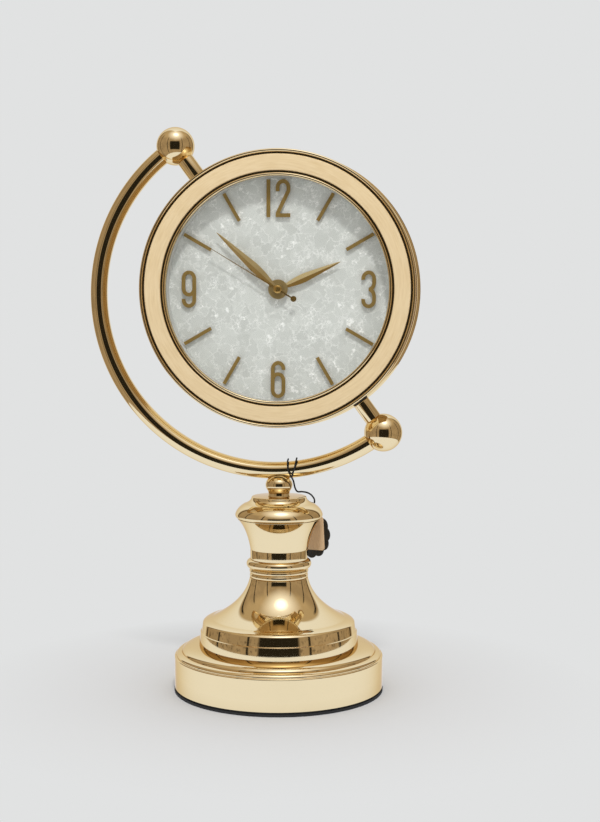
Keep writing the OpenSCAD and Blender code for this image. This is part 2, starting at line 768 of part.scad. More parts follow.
module six_outline() {
    waist = -numeral_h * 0.02;
    arc_stroke([0, numeral_top - numeral_ry], numeral_mid, numeral_ry, -8, 180);
    arc_stroke([0, -numeral_top + numeral_ry], numeral_mid, numeral_ry, -180, 0);
    arc_stroke([0, waist], numeral_mid, numeral_ry, 0, 180);
    bar_stroke([-numeral_mid, numeral_top - numeral_ry], [-numeral_mid, -numeral_top + numeral_ry]);
    bar_stroke([numeral_mid, waist], [numeral_mid, -numeral_top + numeral_ry]);
}

module three_outline() {
    upper = numeral_top - numeral_ry;
    arc_stroke([0, upper], numeral_mid, numeral_ry, 0, 190);
    arc_stroke([0, -upper], numeral_mid, numeral_ry, -190, 0);
    arc_stroke([0, upper - numeral_ry / 2], numeral_mid, upper - numeral_ry / 2, -90, 0);
    arc_stroke([0, numeral_ry / 2 - upper], numeral_mid, upper - numeral_ry / 2, 0, 90);
    bar_stroke([numeral_mid, upper], [numeral_mid, upper - numeral_ry / 2]);
    bar_stroke([numeral_mid, -upper], [numeral_mid, numeral_ry / 2 - upper]);
}

module two_outline() {
    upper = numeral_top - numeral_ry;
    turn_y = upper - numeral_ry / 2;
    arc_stroke([0, upper], numeral_mid, numeral_ry, 0, 180);
    bar_stroke([-numeral_mid, upper], [-numeral_mid, upper - stroke]);
    bar_stroke([numeral_mid, upper + fit], [numeral_mid, turn_y]);
    hull() {
        translate([numeral_mid, turn_y]) circle(d = stroke, $fn = 24);
        translate([-numeral_mid, stroke / 2 - numeral_top]) circle(d = stroke, $fn = 24);
    }
    bar_stroke([-numeral_mid - stroke / 2, -numeral_top], [numeral_mid + stroke / 2, -numeral_top]);
}

one_gap = 3.2;        // gap between the one and the two of twelve

module numeral_12() {
    one_x = -numeral_w / 2 - one_gap / 2;
    two_x = (one_gap + stroke) / 2;
    color("darkgoldenrod")
        in_clock() {
            raised(one_x, numeral_r, [[0, numeral_top * 2 / 3], [0, -numeral_top * 2 / 3]])
                bar_stroke([0, numeral_top + stroke / 2], [0, -numeral_top - stroke / 2]);
            raised(two_x, numeral_r, [[0, numeral_top], [0, -numeral_top]]) two_outline();
        }
}

module numeral_3() {
    color("darkgoldenrod")
        in_clock() raised(numeral_r, 0, [[0, numeral_top], [0, -numeral_top]]) three_outline();
}

module numeral_6() {
    color("darkgoldenrod")
        in_clock() raised(0, -numeral_r, [[0, numeral_top], [0, -numeral_top]]) six_outline();
}

module numeral_9() {
    color("darkgoldenrod")
        in_clock() raised(-numeral_r, 0, [[0, numeral_top], [0, -numeral_top]]) rotate([0, 0, 180]) six_outline();
}

// Back of the case
module back_cover() {
    color("tan")
        in_clock() translate([0, 0, cover_z])
            difference() {
                cylinder(r = case_r - case_t - seat, h = cover_t);
                translate([-window_w, -window_w, -2 * cut] / 2) cube([window_w, window_w, cover_t + 2 * cut]);
                at_cover_screws()
                    translate([0, 0, -cut]) cylinder(r = cover_shank_r + fit, h = cover_t + 2 * cut);
            }
}

module cover_screws() {
    head_h = cover_in * 2 / 3;
    color("silver")
        in_clock() at_cover_screws() translate([0, 0, cover_z])
            difference() {
                union() {
                    translate([0, 0, -head_h]) cylinder(r = 2 * cover_shank_r, h = head_h);
                    cylinder(r = cover_shank_r, h = cover_t + cover_boss_h * 2 / 3);
                }
                translate([-slot_w / 3, -3 * cover_shank_r, -head_h - cut])
                    cube([slot_w * 2 / 3, 6 * cover_shank_r, slot_d / 2 + cut]);
            }
}

// Movement
post_r = 1.8;         // radius of the posts that carry the train plate
post_in = 2;          // how far their middles stand inside the cavity's walls
posts = [for (x = [-1, 1]) for (y = [cavity_high - post_in, cavity_low + post_in]) [x * (cavity_high - post_in), y]];

module square_block(w, from, to, r) {
    translate([0, 0, from]) linear_extrude(to - from)
        hull() for (x = [-1, 1]) for (y = [-1, 1]) translate([x, y] * (w / 2 - r)) circle(r = r, $fn = 24);
}

bush_out = 2.9;       // how far the threaded bush stands out of the dial

module movement_front() {
    bush_top = dial_z + bush_out;
    bay_front = cell_z + cell_r + bay_front_gap;
    color("dimgray")
        in_clock()
            difference() {
                union() {
                    difference() {
                        square_block(movement_w, split_z, move_front, housing_corner);
                        box_between([-cavity_high, cavity_low, split_z - cut], [cavity_high, cavity_high, cavity_front]);
                        box_between([-cavity_high, -movement_w, split_z - cut], [cavity_high, bay_top, bay_front]);
                    }
                    for (p = posts) shaft(post_r, train_z + train_t, cavity_front + cut, p);
                    shaft(bush_r, cavity_front, bush_top);
                }
                shaft(pipe_hour_r + fit, cavity_front - cut, bush_top + cut);
                for (p = [motion_at, third_at, knob_at])
                    shaft(arbor_r + fit, cavity_front - cut, cavity_front + pivot_depth, p);
            }
}

module movement_rear() {
    bay_low = bay_lip - movement_w / 2;
    color("gray")
        in_clock()
            difference() {
                union() {
                    difference() {
                        square_block(movement_w, move_back, split_z, housing_corner);
                        box_between([-cavity_high, cavity_low, cavity_back], [cavity_high, cavity_high, split_z + cut]);
                        box_between([-cavity_high, bay_low, move_back - cut], [cavity_high, bay_top, split_z + cut]);
                    }
                    for (p = posts) shaft(post_r, cavity_back - cut / 2, train_z, p);
                }
                for (p = [[0, 0], third_at, fast_at, rotor_at])
                    shaft(arbor_r + fit, cavity_back - pivot_depth - fit, cavity_back + cut, p);
                shaft(knob_shaft_r + fit, move_back - cut, cavity_back + cut, knob_at);
            }
}

knob_shaft_r = 1.2;   // radius of the setting knob's shaft
coil_l = 18;          // length of the coil's bobbin
coil_out_r = 3.1;     // radius of its winding
flange_r = 3.6;       // radius of its flanges
flange_t = 0.8;       // thickness of its flanges
coil_y = cavity_high - flange_r - wheel_gap - cut;
plate_gap = 0.1;      // gap around the train plate
window_edge = 0.4;    // plate left above the coil's window
pinion_hole_r = 2;    // radius of the hole that the third wheel's pinion passes

module train_plate() {
    from = train_z - cut;
    to = train_z + train_t + cut;
    low = [plate_gap - cavity_high, cavity_low + plate_gap, train_z];
    high = [cavity_high - plate_gap, cavity_high - plate_gap, train_z + train_t];
    color("darkgray")
        in_clock()
            difference() {
                box_between(low, high);
                box_between([-cut, coil_y - flange_r - wheel_t, from], [coil_l + cut, cavity_high - window_edge, to]);
                shaft(pipe_minute_r + window_edge + plate_gap, from, to);
                shaft(pinion_hole_r, from, to, third_at);
                for (p = [fast_at, rotor_at, motion_at]) shaft(arbor_r + fit, from, to, p);
                shaft(knob_shaft_r + fit, from, to, knob_at);
            }
}

bush_nut_h = 2;       // height of the nut on the bush
bush_nut_af = 9.6;    // width across its flats
bush_washer_t = 0.4;  // thickness of its washer

module bush_nut() {
    color("goldenrod")
        in_clock() translate([0, 0, dial_z + bush_washer_t])
            difference() {
                cylinder(r = bush_nut_af / sqrt(3), h = bush_nut_h, $fn = 6);
                translate([0, 0, -cut]) cylinder(r = bush_r + fit, h = bush_nut_h + 2 * cut);
            }
}

module bush_washer() { color("silver") in_clock() ring(bush_nut_af / 2 + seat, bush_r + fit, dial_z, bush_washer_t); }

rubber_share = 2.4;   // radius of the rubber washer, in radii of the bush
module rubber_washer() { color("black") in_clock() ring(rubber_share * bush_r, bush_r + fit, move_front, rubber_t); }

core_t = 1;           // thickness of the stator's core and plate
core_w = 3;           // width of the core
coil_z = seconds_z + core_t / 2;

module coil() {
    hole = [core_t + 4 * fit, core_w + 4 * fit, coil_l + 2 * cut];
    color("peru")
        in_clock() translate([0, coil_y, coil_z]) rotate([0, 90, 0])
            difference() {
                union() {
                    cylinder(r = coil_out_r, h = coil_l);
                    cylinder(r = flange_r, h = flange_t);
                    translate([0, 0, coil_l - flange_t]) cylinder(r = flange_r, h = flange_t);
                }
                translate([-hole[0], -hole[1], -2 * cut] / 2) cube(hole);
            }
}

core_end = 3.5;       // how far the core reaches past the coil's right end
leg_w = 5;            // width of the stator's left leg
leg_right_w = 3.5;    // width of its right leg
pole_r = 5.2;         // radius of the stator around the rotor
pole_bore = 3.4;      // radius of the stator's bore
yoke_w = 3;           // width of the stator between rotor and right leg

module stator() {
    low = coil_z + core_t / 2;
    right = coil_l + core_end + core_t;
    yoke_y = rotor_at[1] + flange_t;
    color("lightsteelblue")
        in_clock() {
            box_between([core_t - leg_w, coil_y - core_w / 2, coil_z - core_t / 2], [right - core_t, coil_y + core_w / 2, low]);
            translate([0, 0, low]) linear_extrude(core_t)
                difference() {
                    union() {
                        translate(rotor_at) circle(r = pole_r);
                        translate([-leg_w - core_t, rotor_at[1]]) square([leg_w, coil_y + core_w - rotor_at[1]]);
                        translate([rotor_at[0], yoke_y]) square([right - rotor_at[0], yoke_w]);
                        translate([right - leg_right_w, yoke_y]) square([leg_right_w, coil_y + core_w - yoke_y]);
                    }
                    translate(rotor_at) circle(r = pole_bore);
                }
        }
}

board_t = 1;          // thickness of the circuit board
board_low = 5;        // its distance from the battery's bay
board_size = [17.4, 14.9];                // width and height of the circuit board

module circuit_board() {
    corner = [board_t - cavity_high, cavity_low + board_low, cavity_back];
    color("darkgreen") in_clock() translate(corner) cube(concat(board_size, [board_t]));
}

contact_t = 0.3;      // thickness of the battery's contacts
contact_w = 8;        // their width
contact_in = 0.1;     // their distance from the bay's ends

module battery_contacts() {
    color("silver")
        in_clock() for (side = [-1, 1])
            translate([side * (cavity_high - contact_in - contact_t / 2), cell_y, cell_z])
                cube([contact_t, contact_w, contact_w], center = true);
}

stud_out = 1.2;       // how far the battery's stud stands out
cell_stud_r = 2.75;   // radius of that stud

module battery() {
    color("slategray")
        in_clock() translate([-(cell_l + stud_out) / 2, cell_y, cell_z]) rotate([0, 90, 0]) {
            cylinder(r = cell_r, h = cell_l);
            cylinder(r = cell_stud_r, h = cell_l + stud_out);
        }
}

// Wheels
magnet_r = 3;         // radius of the rotor's magnet
magnet_h = 2;         // height of the magnet
pinion_share = 0.34;  // share of a pinion's pitch that its teeth take
pinion_h = wheel_t + 2 * pinion_more;

module rotor() {
    color("slategray")
        in_clock() translate(rotor_at) {
            shaft(arbor_r, arbor_back, arbor_mid);
            shaft(magnet_r, coil_z, coil_z + magnet_h);
            gear(rotor_n, fast_m, fast_z - pinion_more, pinion_h, 0, rotor_turn, pinion_share);
        }
}

module intermediate_wheel() {
    color("white")
        in_clock() translate(fast_at) {
            shaft(arbor_r, arbor_back, arbor_mid);
            gear(fast_n, fast_m, fast_z, wheel_t, 0, fast_turn);
            gear(fast_pinion_n, fast_m, seconds_z - wheel_gap, pinion_h - wheel_gap, 0, fast_pinion_turn, pinion_share);
        }
}

module seconds_wheel() {
    color("white")
        in_clock() {
            shaft(arbor_r, arbor_back, second_z + hand_t / 2);
            gear(seconds_n, fast_m, seconds_z, wheel_t, 0, seconds_wheel_turn);
            gear(seconds_pinion_n, third_m, third_z - pinion_more, pinion_h - pipe_sink, 0, seconds_pinion_turn, pinion_share);
        }
}

module third_wheel() {
    color("white")
        in_clock() translate(third_at) {
            shaft(arbor_r, arbor_back, arbor_front);
            gear(third_n, third_m, third_z, wheel_t, 0, third_turn);
            gear(third_pinion_n, centre_m, centre_z - pinion_more, pinion_h, 0, third_pinion_turn, pinion_share);
        }
}

module centre_wheel() {
    color("goldenrod") in_clock() gear(centre_n, centre_m, centre_z, wheel_t, pipe_minute_r + fit, centre_turn);
}

module cannon_pinion() {
    color("goldenrod")
        in_clock()
            difference() {
                union() {
                    shaft(pipe_minute_r, arbor_mid, minute_z + hand_t / 2);
                    gear(cannon_n, motion_m, cannon_z, work_t, 0, cannon_turn, work_share);
                }
                shaft(arbor_r + fit, train_z, minute_z + hand_t + cut);
            }
}

work_share = 0.36;    // share of the pitch that the teeth of the motion work's pinions take

module motion_wheel() {
    pinion_z = cannon_z + work_t;
    color("white")
        in_clock() translate(motion_at) {
            shaft(arbor_r, train_z + wheel_gap, arbor_front);
            gear(motion_n, motion_m, cannon_z, work_t, 0, motion_turn);
            gear(motion_pinion_n, hour_m, pinion_z, hour_wheel_z + hour_wheel_t - pinion_z, 0, motion_pinion_turn, work_share);
        }
}

module hour_wheel() {
    color("white")
        in_clock()
            difference() {
                union() {
                    gear(hour_n, hour_m, hour_wheel_z, hour_wheel_t, 0, hour_wheel_turn);
                    shaft(pipe_hour_r, hour_wheel_z, hour_z + hand_t / 2);
                }
                shaft(pipe_minute_r + fit, hour_wheel_z - cut, hour_z + hand_t + cut);
            }
}

knob_h = 2.6;         // height of the setting knob
knob_gap = 0.4;       // gap between the knob and the housing
knob_groove = 0.35;   // depth of its knurl
knob_points = 48;     // points around its knurl

module set_knob() {
    color("dimgray")
        in_clock() translate(knob_at) {
            shaft(arbor_r, cannon_z, arbor_front);
            shaft(knob_shaft_r, move_back - cut, cannon_z + work_t / 2);
            gear(knob_n, motion_m, cannon_z, work_t, 0, knob_turn, work_share);
            translate([0, 0, move_back - knob_gap - knob_h]) linear_extrude(knob_h)
                polygon([for (i = [1 : knob_points]) polar(knob_r - (i % 2) * knob_groove, 360 / knob_points * i)]);
        }
}

// Hands
hand_t = 0.9;         // thickness of a hand's boss
hand_gap = [0.8, 0.6];                    // gaps between the hour, minute and second hands
hand_grip = 0.02;     // clearance between a hand and its pipe
hour_z = dial_z + bush_out + seat;
minute_z = hour_z + hand_t + hand_gap[0];
second_z = minute_z + hand_t + hand_gap[1];
minute_hub_r = 3.15;  // radius of the minute hand's disc
dome_r = 2.5;         // radius of the second hand's dome

// Half width of a leaf blade at a share of the way from its root to its tip
belly_share = 0.34;
taper_power = 0.8;
ridge_share = 0.24;   // rise of the blade's ridge, in half widths
function leaf(s, w, root_w) = s < belly_share
    ? root_w / 2 + (w - root_w) / 2 * sin(90 * s / belly_share)
    : w / 2 * pow((1 - s) / (1 - belly_share), taper_power) + root_w / 12;

// A leaf blade with a ridge along its middle, from radius r0 to its tip at l
module blade(l, w, r0, z, root_w) {
    steps = 16;
    edge_t = hand_t / 5;
    points = [for (i = [0 : steps]) let (s = i / steps, half = leaf(s, w, root_w), y = r0 + (l - r0) * s)
        each [[-half, y, 0], [half, y, 0], [half, y, edge_t], [0, y, edge_t + half * ridge_share], [-half, y, edge_t]]];
    faces = concat(
        [[4, 3, 2, 1, 0]],
        [for (i = [0 : steps - 1]) for (k = [0 : 4]) let (m = (k + 1) % 5)
            [5 * i + m, 5 * i + 5 + m, 5 * i + 5 + k, 5 * i + k]],
        [[for (k = [0 : 4]) 5 * steps + k]]
    );
    translate([0, 0, z]) polyhedron(points = points, faces = faces);
}

module hour_hand() {
    color("gold")
        in_clock() rotate([0, 0, -hour_turn])
            difference() {
                union() {
                    translate([0, 0, hour_z]) cylinder(r = hub_r, h = hand_t);
                    blade(hour_l, hour_w, hub_r * 0.6, hour_z, hour_w / 3);
                }
                shaft(pipe_hour_r + hand_grip, hour_z - cut, hour_z + hand_t + cut);
            }
}

module minute_hand() {
    color("gold")
        in_clock() rotate([0, 0, -minute_turn])
            difference() {
                union() {
                    translate([0, 0, minute_z]) cylinder(r = minute_hub_r, h = hand_t);
                    blade(minute_l, minute_w, minute_hub_r * 0.7, minute_z, minute_w / 3);
                }
                shaft(pipe_minute_r + hand_grip, minute_z - cut, minute_z + hand_t + cut);
            }
}

second_tail = 11;     // distance from the centre to the ball of the second hand's tail
second_ball = 1.75;   // radius of that ball

module second_hand() {
    wide = second_w / 2;
    color("gold")
        in_clock() rotate([0, 0, -second_turn])
            difference() {
                union() {
                    translate([0, 0, second_z]) cylinder(r = dome_r, h = hand_t / 2);
                    translate([0, 0, second_z + hand_t / 2]) resize([2 * dome_r, 2 * dome_r, hand_t]) half_ball(dome_r);
                    translate([0, 0, second_z]) linear_extrude(hand_t / 3)
                        polygon([[-wide, -second_tail], [wide, -second_tail], [wide / 3, second_l], [-wide / 3, second_l]]);
                    translate([0, -second_tail, second_z]) cylinder(r = second_ball, h = hand_t / 3);
                }
                shaft(arbor_r + hand_grip, second_z - cut, second_z + hand_t / 2);
            }
}

module half_ball(r) {
    intersection() {
        sphere(r = r, $fn = 32);
        translate([-r, -r, 0]) cube(2 * r);
    }
}

// Tag on its string
tag_tilt = -4;        // lean of the tag in its own plane
tag_side = 50;        // direction in which it hangs off the cap's rim
tag_drop = 25.7;      // depth of its middle under the cap's top
tag_at = concat(polar(cap_r + seat + tag_t, tag_side), [cap_top - tag_drop]);

// The string's way from the arm over the cap, measured from the middle of the cap's top
string_way = [
    [5.5, 0, 22.3], [5.5, -4, 20.8], [6, -5.8, 16.3], [7.6, -5.6, 12.8], [9, -4.4, 9.8], [9.8, -2, 5.3],
    [11, 1, 2.7], [13.5, 5, 2.1], [16.5, 9.5, 0.9], [18.8, 15.2, -1.8]
];
// Its last bends in front of the tag: how far along the tag, and how high
string_end = [[-2.4, -5.6], [-0.3, -11]];
string_out = cap_r + seat + tag_t + string_r + fit;
string_route = concat(
    [for (p = string_way) p + [0, 0, cap_top]],
    [for (p = string_end) concat(polar(string_out, tag_side) + polar(p[0], tag_side + 90), [cap_top + p[1]])]
);

module tag_string() { color("black") tube_path(string_route, string_r); }

off_axis = [1, 0.3, 0.1];     // a direction that no part of the string follows
module tube_path(route, r) {
    sides = 8;
    n = len(route);
    dirs = [for (i = [0 : n - 1]) let (d = route[min(i + 1, n - 1)] - route[max(i - 1, 0)]) d / norm(d)];
    across = [for (d = dirs) let (c = cross(d, off_axis)) c / norm(c)];
    rings = [for (i = [0 : n - 1]) for (k = [0 : sides - 1])
        let (a = 360 * k / sides, b = cross(dirs[i], across[i])) route[i] + r * (cos(a) * across[i] + sin(a) * b)];
    polyhedron(points = rings, faces = concat(
        [[for (k = [sides - 1 : -1 : 0]) k]],
        [for (i = [0 : n - 2]) for (k = [0 : sides - 1]) let (m = (k + 1) % sides)
            [i * sides + k, i * sides + m, (i + 1) * sides + m, (i + 1) * sides + k]],
        [[for (k = [0 : sides - 1]) (n - 1) * sides + k]]
    ));
}

module tag_card() {
    scallops = 12;
    scallop_r = tag_w / 7;
    middle = [tag_w / 2 - scallop_r, tag_h / 2 - scallop_r];
    color("black")
        translate(tag_at) rotate([0, 0, tag_side - 90]) rotate([90, tag_tilt, 0]) linear_extrude(tag_t)
            union() {
                polygon(oval([0, 0], middle[0] + scallop_r / 2, middle[1] + scallop_r / 2, 0, 360, 48));
                for (k = [0 : scallops - 1]) translate(oval([0, 0], middle[0], middle[1], 0, 360, scallops)[k])
                    circle(r = scallop_r, $fn = 24);
            }
}

base_pad();
base_plate();
base_weight();
base_shell();
tier_shell();
waist_ring();
column_cup();
column_cap();
neck_bead();
tie_rod();
tie_rod_washer();
tie_rod_nut();
arm();
arm_stud();
arm_nut();
upper_ball();
lower_ball();
upper_pin();
lower_pin();
pivot_screws();
pivot_washers();
case_shell();
bezel_rim();
bezel_face();
lens();
rehaut_ring();
dial();
dial_plate();
hour_markers();
numeral_12();
numeral_3();
numeral_6();
numeral_9();
back_cover();
cover_screws();
movement_front();
movement_rear();
train_plate();
bush_nut();
bush_washer();
rubber_washer();
coil();
stator();
circuit_board();
battery_contacts();
battery();
rotor();
intermediate_wheel();
seconds_wheel();
third_wheel();
centre_wheel();
cannon_pinion();
motion_wheel();
hour_wheel();
set_knob();
hour_hand();
minute_hand();
second_hand();
tag_string();
tag_card();
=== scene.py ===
import json
import math

import bmesh
import bpy
from mathutils import Matrix, Vector

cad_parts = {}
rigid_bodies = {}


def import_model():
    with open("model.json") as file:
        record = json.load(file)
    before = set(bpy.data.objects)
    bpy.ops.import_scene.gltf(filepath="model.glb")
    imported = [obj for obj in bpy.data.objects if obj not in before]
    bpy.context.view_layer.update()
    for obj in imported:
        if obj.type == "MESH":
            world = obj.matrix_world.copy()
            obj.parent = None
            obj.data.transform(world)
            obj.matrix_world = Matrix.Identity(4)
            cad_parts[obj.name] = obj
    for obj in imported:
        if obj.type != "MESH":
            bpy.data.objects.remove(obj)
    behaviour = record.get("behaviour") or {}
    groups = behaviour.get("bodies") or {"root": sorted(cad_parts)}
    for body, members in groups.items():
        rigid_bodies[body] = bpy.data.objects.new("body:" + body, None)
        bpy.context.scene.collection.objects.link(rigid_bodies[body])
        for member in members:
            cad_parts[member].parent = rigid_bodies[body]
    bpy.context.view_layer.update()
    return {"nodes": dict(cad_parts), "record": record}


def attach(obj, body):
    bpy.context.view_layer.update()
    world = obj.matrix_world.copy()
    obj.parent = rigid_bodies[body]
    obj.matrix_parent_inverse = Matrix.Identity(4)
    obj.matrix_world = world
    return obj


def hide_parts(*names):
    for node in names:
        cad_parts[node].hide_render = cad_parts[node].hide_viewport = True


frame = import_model()
scene = bpy.context.scene
print("frame loaded")

# Lengths are in millimetres and angles in degrees, unless a note says otherwise
mm = 0.001
dialMiddle = 240.0         # height of the dial's middle over the table
caseRadius = 81.0
capRadius, capTop = 26.3, 116.7      # the column's cap, which the tag's string lies on
tagSide = 50.0             # direction of the tag from the column
touching = 1e-6            # corners nearer than this are one, metres
atAxis = 1e-6              # a point nearer to the axis than this is on it


def linked(name, data):
    made = bpy.data.objects.new(name, data)
    scene.collection.objects.link(made)
    return made


# Camera
camera = {
    "bearing": 6.0,        # how far it stands to the clock's right
    "distance": 827.3,
    "height": 225.9,
    "look": 5.14,          # left of straight ahead
    "pitch": 4.02,         # down
    "roll": 0.16,
    "lens": 60.84, "frame": 36.0,        # focal length, and height of the frame
    "sees": (0.01, 50.0),                # nearest and farthest, metres
}


def makeCamera(c):
    data = bpy.data.cameras.new("camera")
    data.sensor_fit = "VERTICAL"
    data.sensor_height = c["frame"]
    data.lens = c["lens"]
    data.clip_start, data.clip_end = c["sees"]
    turn = math.radians(c["bearing"])
    place = Vector((math.sin(turn), -math.cos(turn), 0)) * c["distance"] + Vector((0, 0, c["height"]))
    cam = linked("camera", data)
    cam.matrix_world = (
        Matrix.Translation(place * mm)
        @ Matrix.Rotation(math.radians(c["look"]), 4, "Z")
        @ Matrix.Rotation(math.radians(90 - c["pitch"]), 4, "X")
        @ Matrix.Rotation(math.radians(c["roll"]), 4, "Z")
    )
    scene.camera = cam


makeCamera(camera)

# The string that holds the tag, as the part's source lays it: over the arm, past the neck and over the cap's rim
tagString = {
    "radius": 0.5,
    "way": [               # heights from the cap's top
        (5.5, 0, 22.3), (5.5, -4, 20.8), (6, -5.8, 16.3), (7.6, -5.6, 12.8), (9, -4.4, 9.8), (9.8, -2, 5.3),
        (11, 1, 2.7), (13.5, 5, 2.1), (16.5, 9.5, 0.9), (18.8, 15.2, -1.8),
    ],
    "end": [(-2.4, -5.6), (-0.3, -11)],      # along the tag, and how high
    "out": 27.95,                            # how far the end hangs from the column's axis
}


def polar(r, degrees):
    return Vector((r * math.cos(math.radians(degrees)), r * math.sin(math.radians(degrees))))


def stringPoints(s):
    points = [Vector((x, y, z + capTop)) for x, y, z in s["way"]]
    for along, high in s["end"]:
        spot = polar(s["out"], tagSide) + polar(along, tagSide + 90)
        points.append(Vector((spot.x, spot.y, capTop + high)))
    return points


# A smooth way through the points, in a few steps from each to the next
def smoothRoute(points, steps=6):
    pts = [Vector(p) for p in points]
    pts = [2 * pts[0] - pts[1]] + pts + [2 * pts[-1] - pts[-2]]
    out = []
    for a, b, c, d in zip(pts, pts[1:], pts[2:], pts[3:]):
        for k in range(steps):
            t = k / steps
            bend = (2 * a - 5 * b + 4 * c - d) * t * t + (3 * b - a - 3 * c + d) * t ** 3
            out.append(0.5 * (2 * b + (c - a) * t + bend))
    out.append(pts[-2])
    return out


# Shader maths: a wire is an output socket that takes plain arithmetic
class Wire:
    def __init__(self, tree, socket):
        self.tree = tree
        self.socket = socket

    def math(self, operation, other=None, swap=False, clamp=False):
        node = self.tree.nodes.new("ShaderNodeMath")
        node.operation = operation
        node.use_clamp = clamp
        pair = [other, self] if swap else [self, other]
        for socket, value in zip(node.inputs, pair):
            if value is not None:
                plug(self.tree, socket, value)
        return Wire(self.tree, node.outputs[0])

    def __add__(self, other):
        return self.math("ADD", other)

    def __sub__(self, other):
        return self.math("SUBTRACT", other)

    def __mul__(self, other):
        return self.math("MULTIPLY", other)

    def __truediv__(self, other):
        return self.math("DIVIDE", other)

    def __rsub__(self, other):
        return self.math("SUBTRACT", other, swap=True)

    __radd__ = __add__
    __rmul__ = __mul__

    def power(self, other):
        return self.math("POWER", other)

    def clamp(self):
        return self.math("ADD", 0.0, clamp=True)


def plug(tree, socket, value):
    if isinstance(value, Wire):
        tree.links.new(value.socket, socket)
    else:
        socket.default_value = value


def colour(value):
    if isinstance(value, Wire) or len(value) == 4:
        return value
    return (*value, 1.0)


# Colour written as it shows on screen, 0 to 255
def shown(r, g, b):
    return tuple(v / 255 / 12.92 if v <= 10 else ((v / 255 + 0.055) / 1.055) ** 2.4 for v in (r, g, b))


def times(tone, factor):
    return tuple(c * factor for c in tone)


# The node tree of a material, or of the room round the clock
class Finish:
    def __init__(self, owner, output="OutputMaterial"):
        owner.use_nodes = True
        self.owner = owner
        self.tree = owner.node_tree
        self.tree.nodes.clear()
        self.out = self.tree.nodes.new("ShaderNode" + output)

    # Adds a node: settings are set first, inputs are named or numbered, and out picks the output
    def node(self, kind, inputs=None, out=0, **settings):
        made = self.tree.nodes.new("ShaderNode" + kind)
        for key, value in settings.items():
            setattr(made, key, value)
        for key, value in (inputs or {}).items():
            plug(self.tree, made.inputs[key], value)
        return Wire(self.tree, made.outputs[out])

    def place(self):
        return self.node("TexCoord", out="Object")

    # The x, y and z of a vector
    def split(self, vector):
        first = self.node("SeparateXYZ", {0: vector})
        return [Wire(self.tree, socket) for socket in first.socket.node.outputs]

    def noise(self, scale, detail=3.0, roughness=0.5, at=None, out="Fac"):
        return self.node("TexNoise", {"Vector": at or self.place(), "Scale": scale, "Detail": detail,
                                      "Roughness": roughness}, out=out)

    def blend(self, factor, first, second):
        return self.node("Mix", {0: factor, 6: colour(first), 7: colour(second)}, out=2, data_type="RGBA")

    # Grey that goes between two stops, each a place and a shade
    def ramp(self, value, stops):
        made = self.node("ValToRGB", {0: value})
        for point, (at, shade) in zip(made.socket.node.color_ramp.elements, stops):
            point.position = at
            point.color = (shade, shade, shade, 1)
        return made

    # Depth is in millimetres
    def bump(self, height, strength, depth):
        return self.node("Bump", {"Strength": strength, "Distance": depth * mm, "Height": height})

    # Links the last node to the output
    def done(self, last):
        self.tree.links.new(last.socket, self.out.inputs[0])
        return self.owner

    def principled(self, tone, **values):
        names = {"coat": "Coat Weight", "coatRoughness": "Coat Roughness", "tint": "Specular Tint"}
        inputs = {names.get(key, key.capitalize()): value for key, value in values.items()}
        return self.done(self.node("BsdfPrincipled", {"Base Color": tone, **inputs}))


def newFinish(name):
    return Finish(bpy.data.materials.new(name))


goldLook = {
    "colour": shown(240, 218, 172), "edge": (0.74, 0.60, 0.42, 1),       # straight on, and at a slant
    "roughness": 0.055, "smudges": 45.0, "smudge": 0.08,                 # smudges to the metre, and how matt they are
    "waves": 22.0, "pores": 900.0, "poreShare": 0.004,                   # waves and pores of the skin
    "strength": 0.06, "depth": 0.4,
}


def polishedGold(look):
    f = newFinish("polishedGold")
    smudge = f.noise(look["smudges"], detail=4.0, roughness=0.6)
    waves = f.noise(look["waves"], detail=1.0, roughness=0.4)
    pores = f.noise(look["pores"], detail=2.0)
    tone = f.blend(smudge, look["colour"], times(look["colour"], 0.95))
    rough = look["roughness"] + smudge.math("SUBTRACT", 0.45, clamp=True) * look["smudge"]
    return f.principled(tone, metallic=1.0, roughness=rough, tint=look["edge"],
                        normal=f.bump(waves + pores * look["poreShare"], look["strength"], look["depth"]))


brushedLook = {
    "colour": shown(239, 215, 172), "dark": (0.88, 0.84, 0.76),          # the dark lines, as a share of the colour
    "roughness": 0.36, "rougher": 0.14, "metal": 0.2,                    # rougher along some of the lines
    "lines": 1000.0, "strokes": 6.0,                                     # across the ring, and along it
    "strength": 0.22, "depth": 0.06,
}


# Concentric brushing round the clock's own axis
def brushedGold(look):
    f = newFinish("brushedGold")
    x, _, z = f.split(f.node("Mapping", {0: f.place(), 1: (0, 0, -dialMiddle * mm)}))
    radius = (x * x + z * z).math("SQRT")
    turn = z.math("ARCTAN2", x)
    line = f.node("CombineXYZ", {0: radius * look["lines"], 1: turn * look["strokes"]})
    grain = f.noise(1.0, roughness=0.6, at=line)
    broad = f.noise(60.0, detail=2.0)
    dark = tuple(c * k for c, k in zip(look["colour"], look["dark"]))
    tone = f.blend(((grain - 0.36) * 2.4 + (broad - 0.5) * 0.8).clamp(), look["colour"], dark)
    return f.principled(tone, metallic=look["metal"], roughness=look["roughness"] + grain * look["rougher"],
                        normal=f.bump(grain, look["strength"], look["depth"]))


# Ridged hands: brass with painted light and shade, paler on the side that faces up and left and darker on the other
handLook = {
    # pale is the painted lit tone, the tone after it the painted shade, and the way after them is where the painted
    # light comes from
    "pale": shown(240, 220, 166), "deep": shown(164, 130, 68), "towards": (-0.55, 0.0, 0.83), "contrast": 2.4,
    "roughness": 0.26, "rougher": 0.06, "metal": 0.6,
    "grain": 700.0, "strength": 0.2, "depth": 0.01,
}


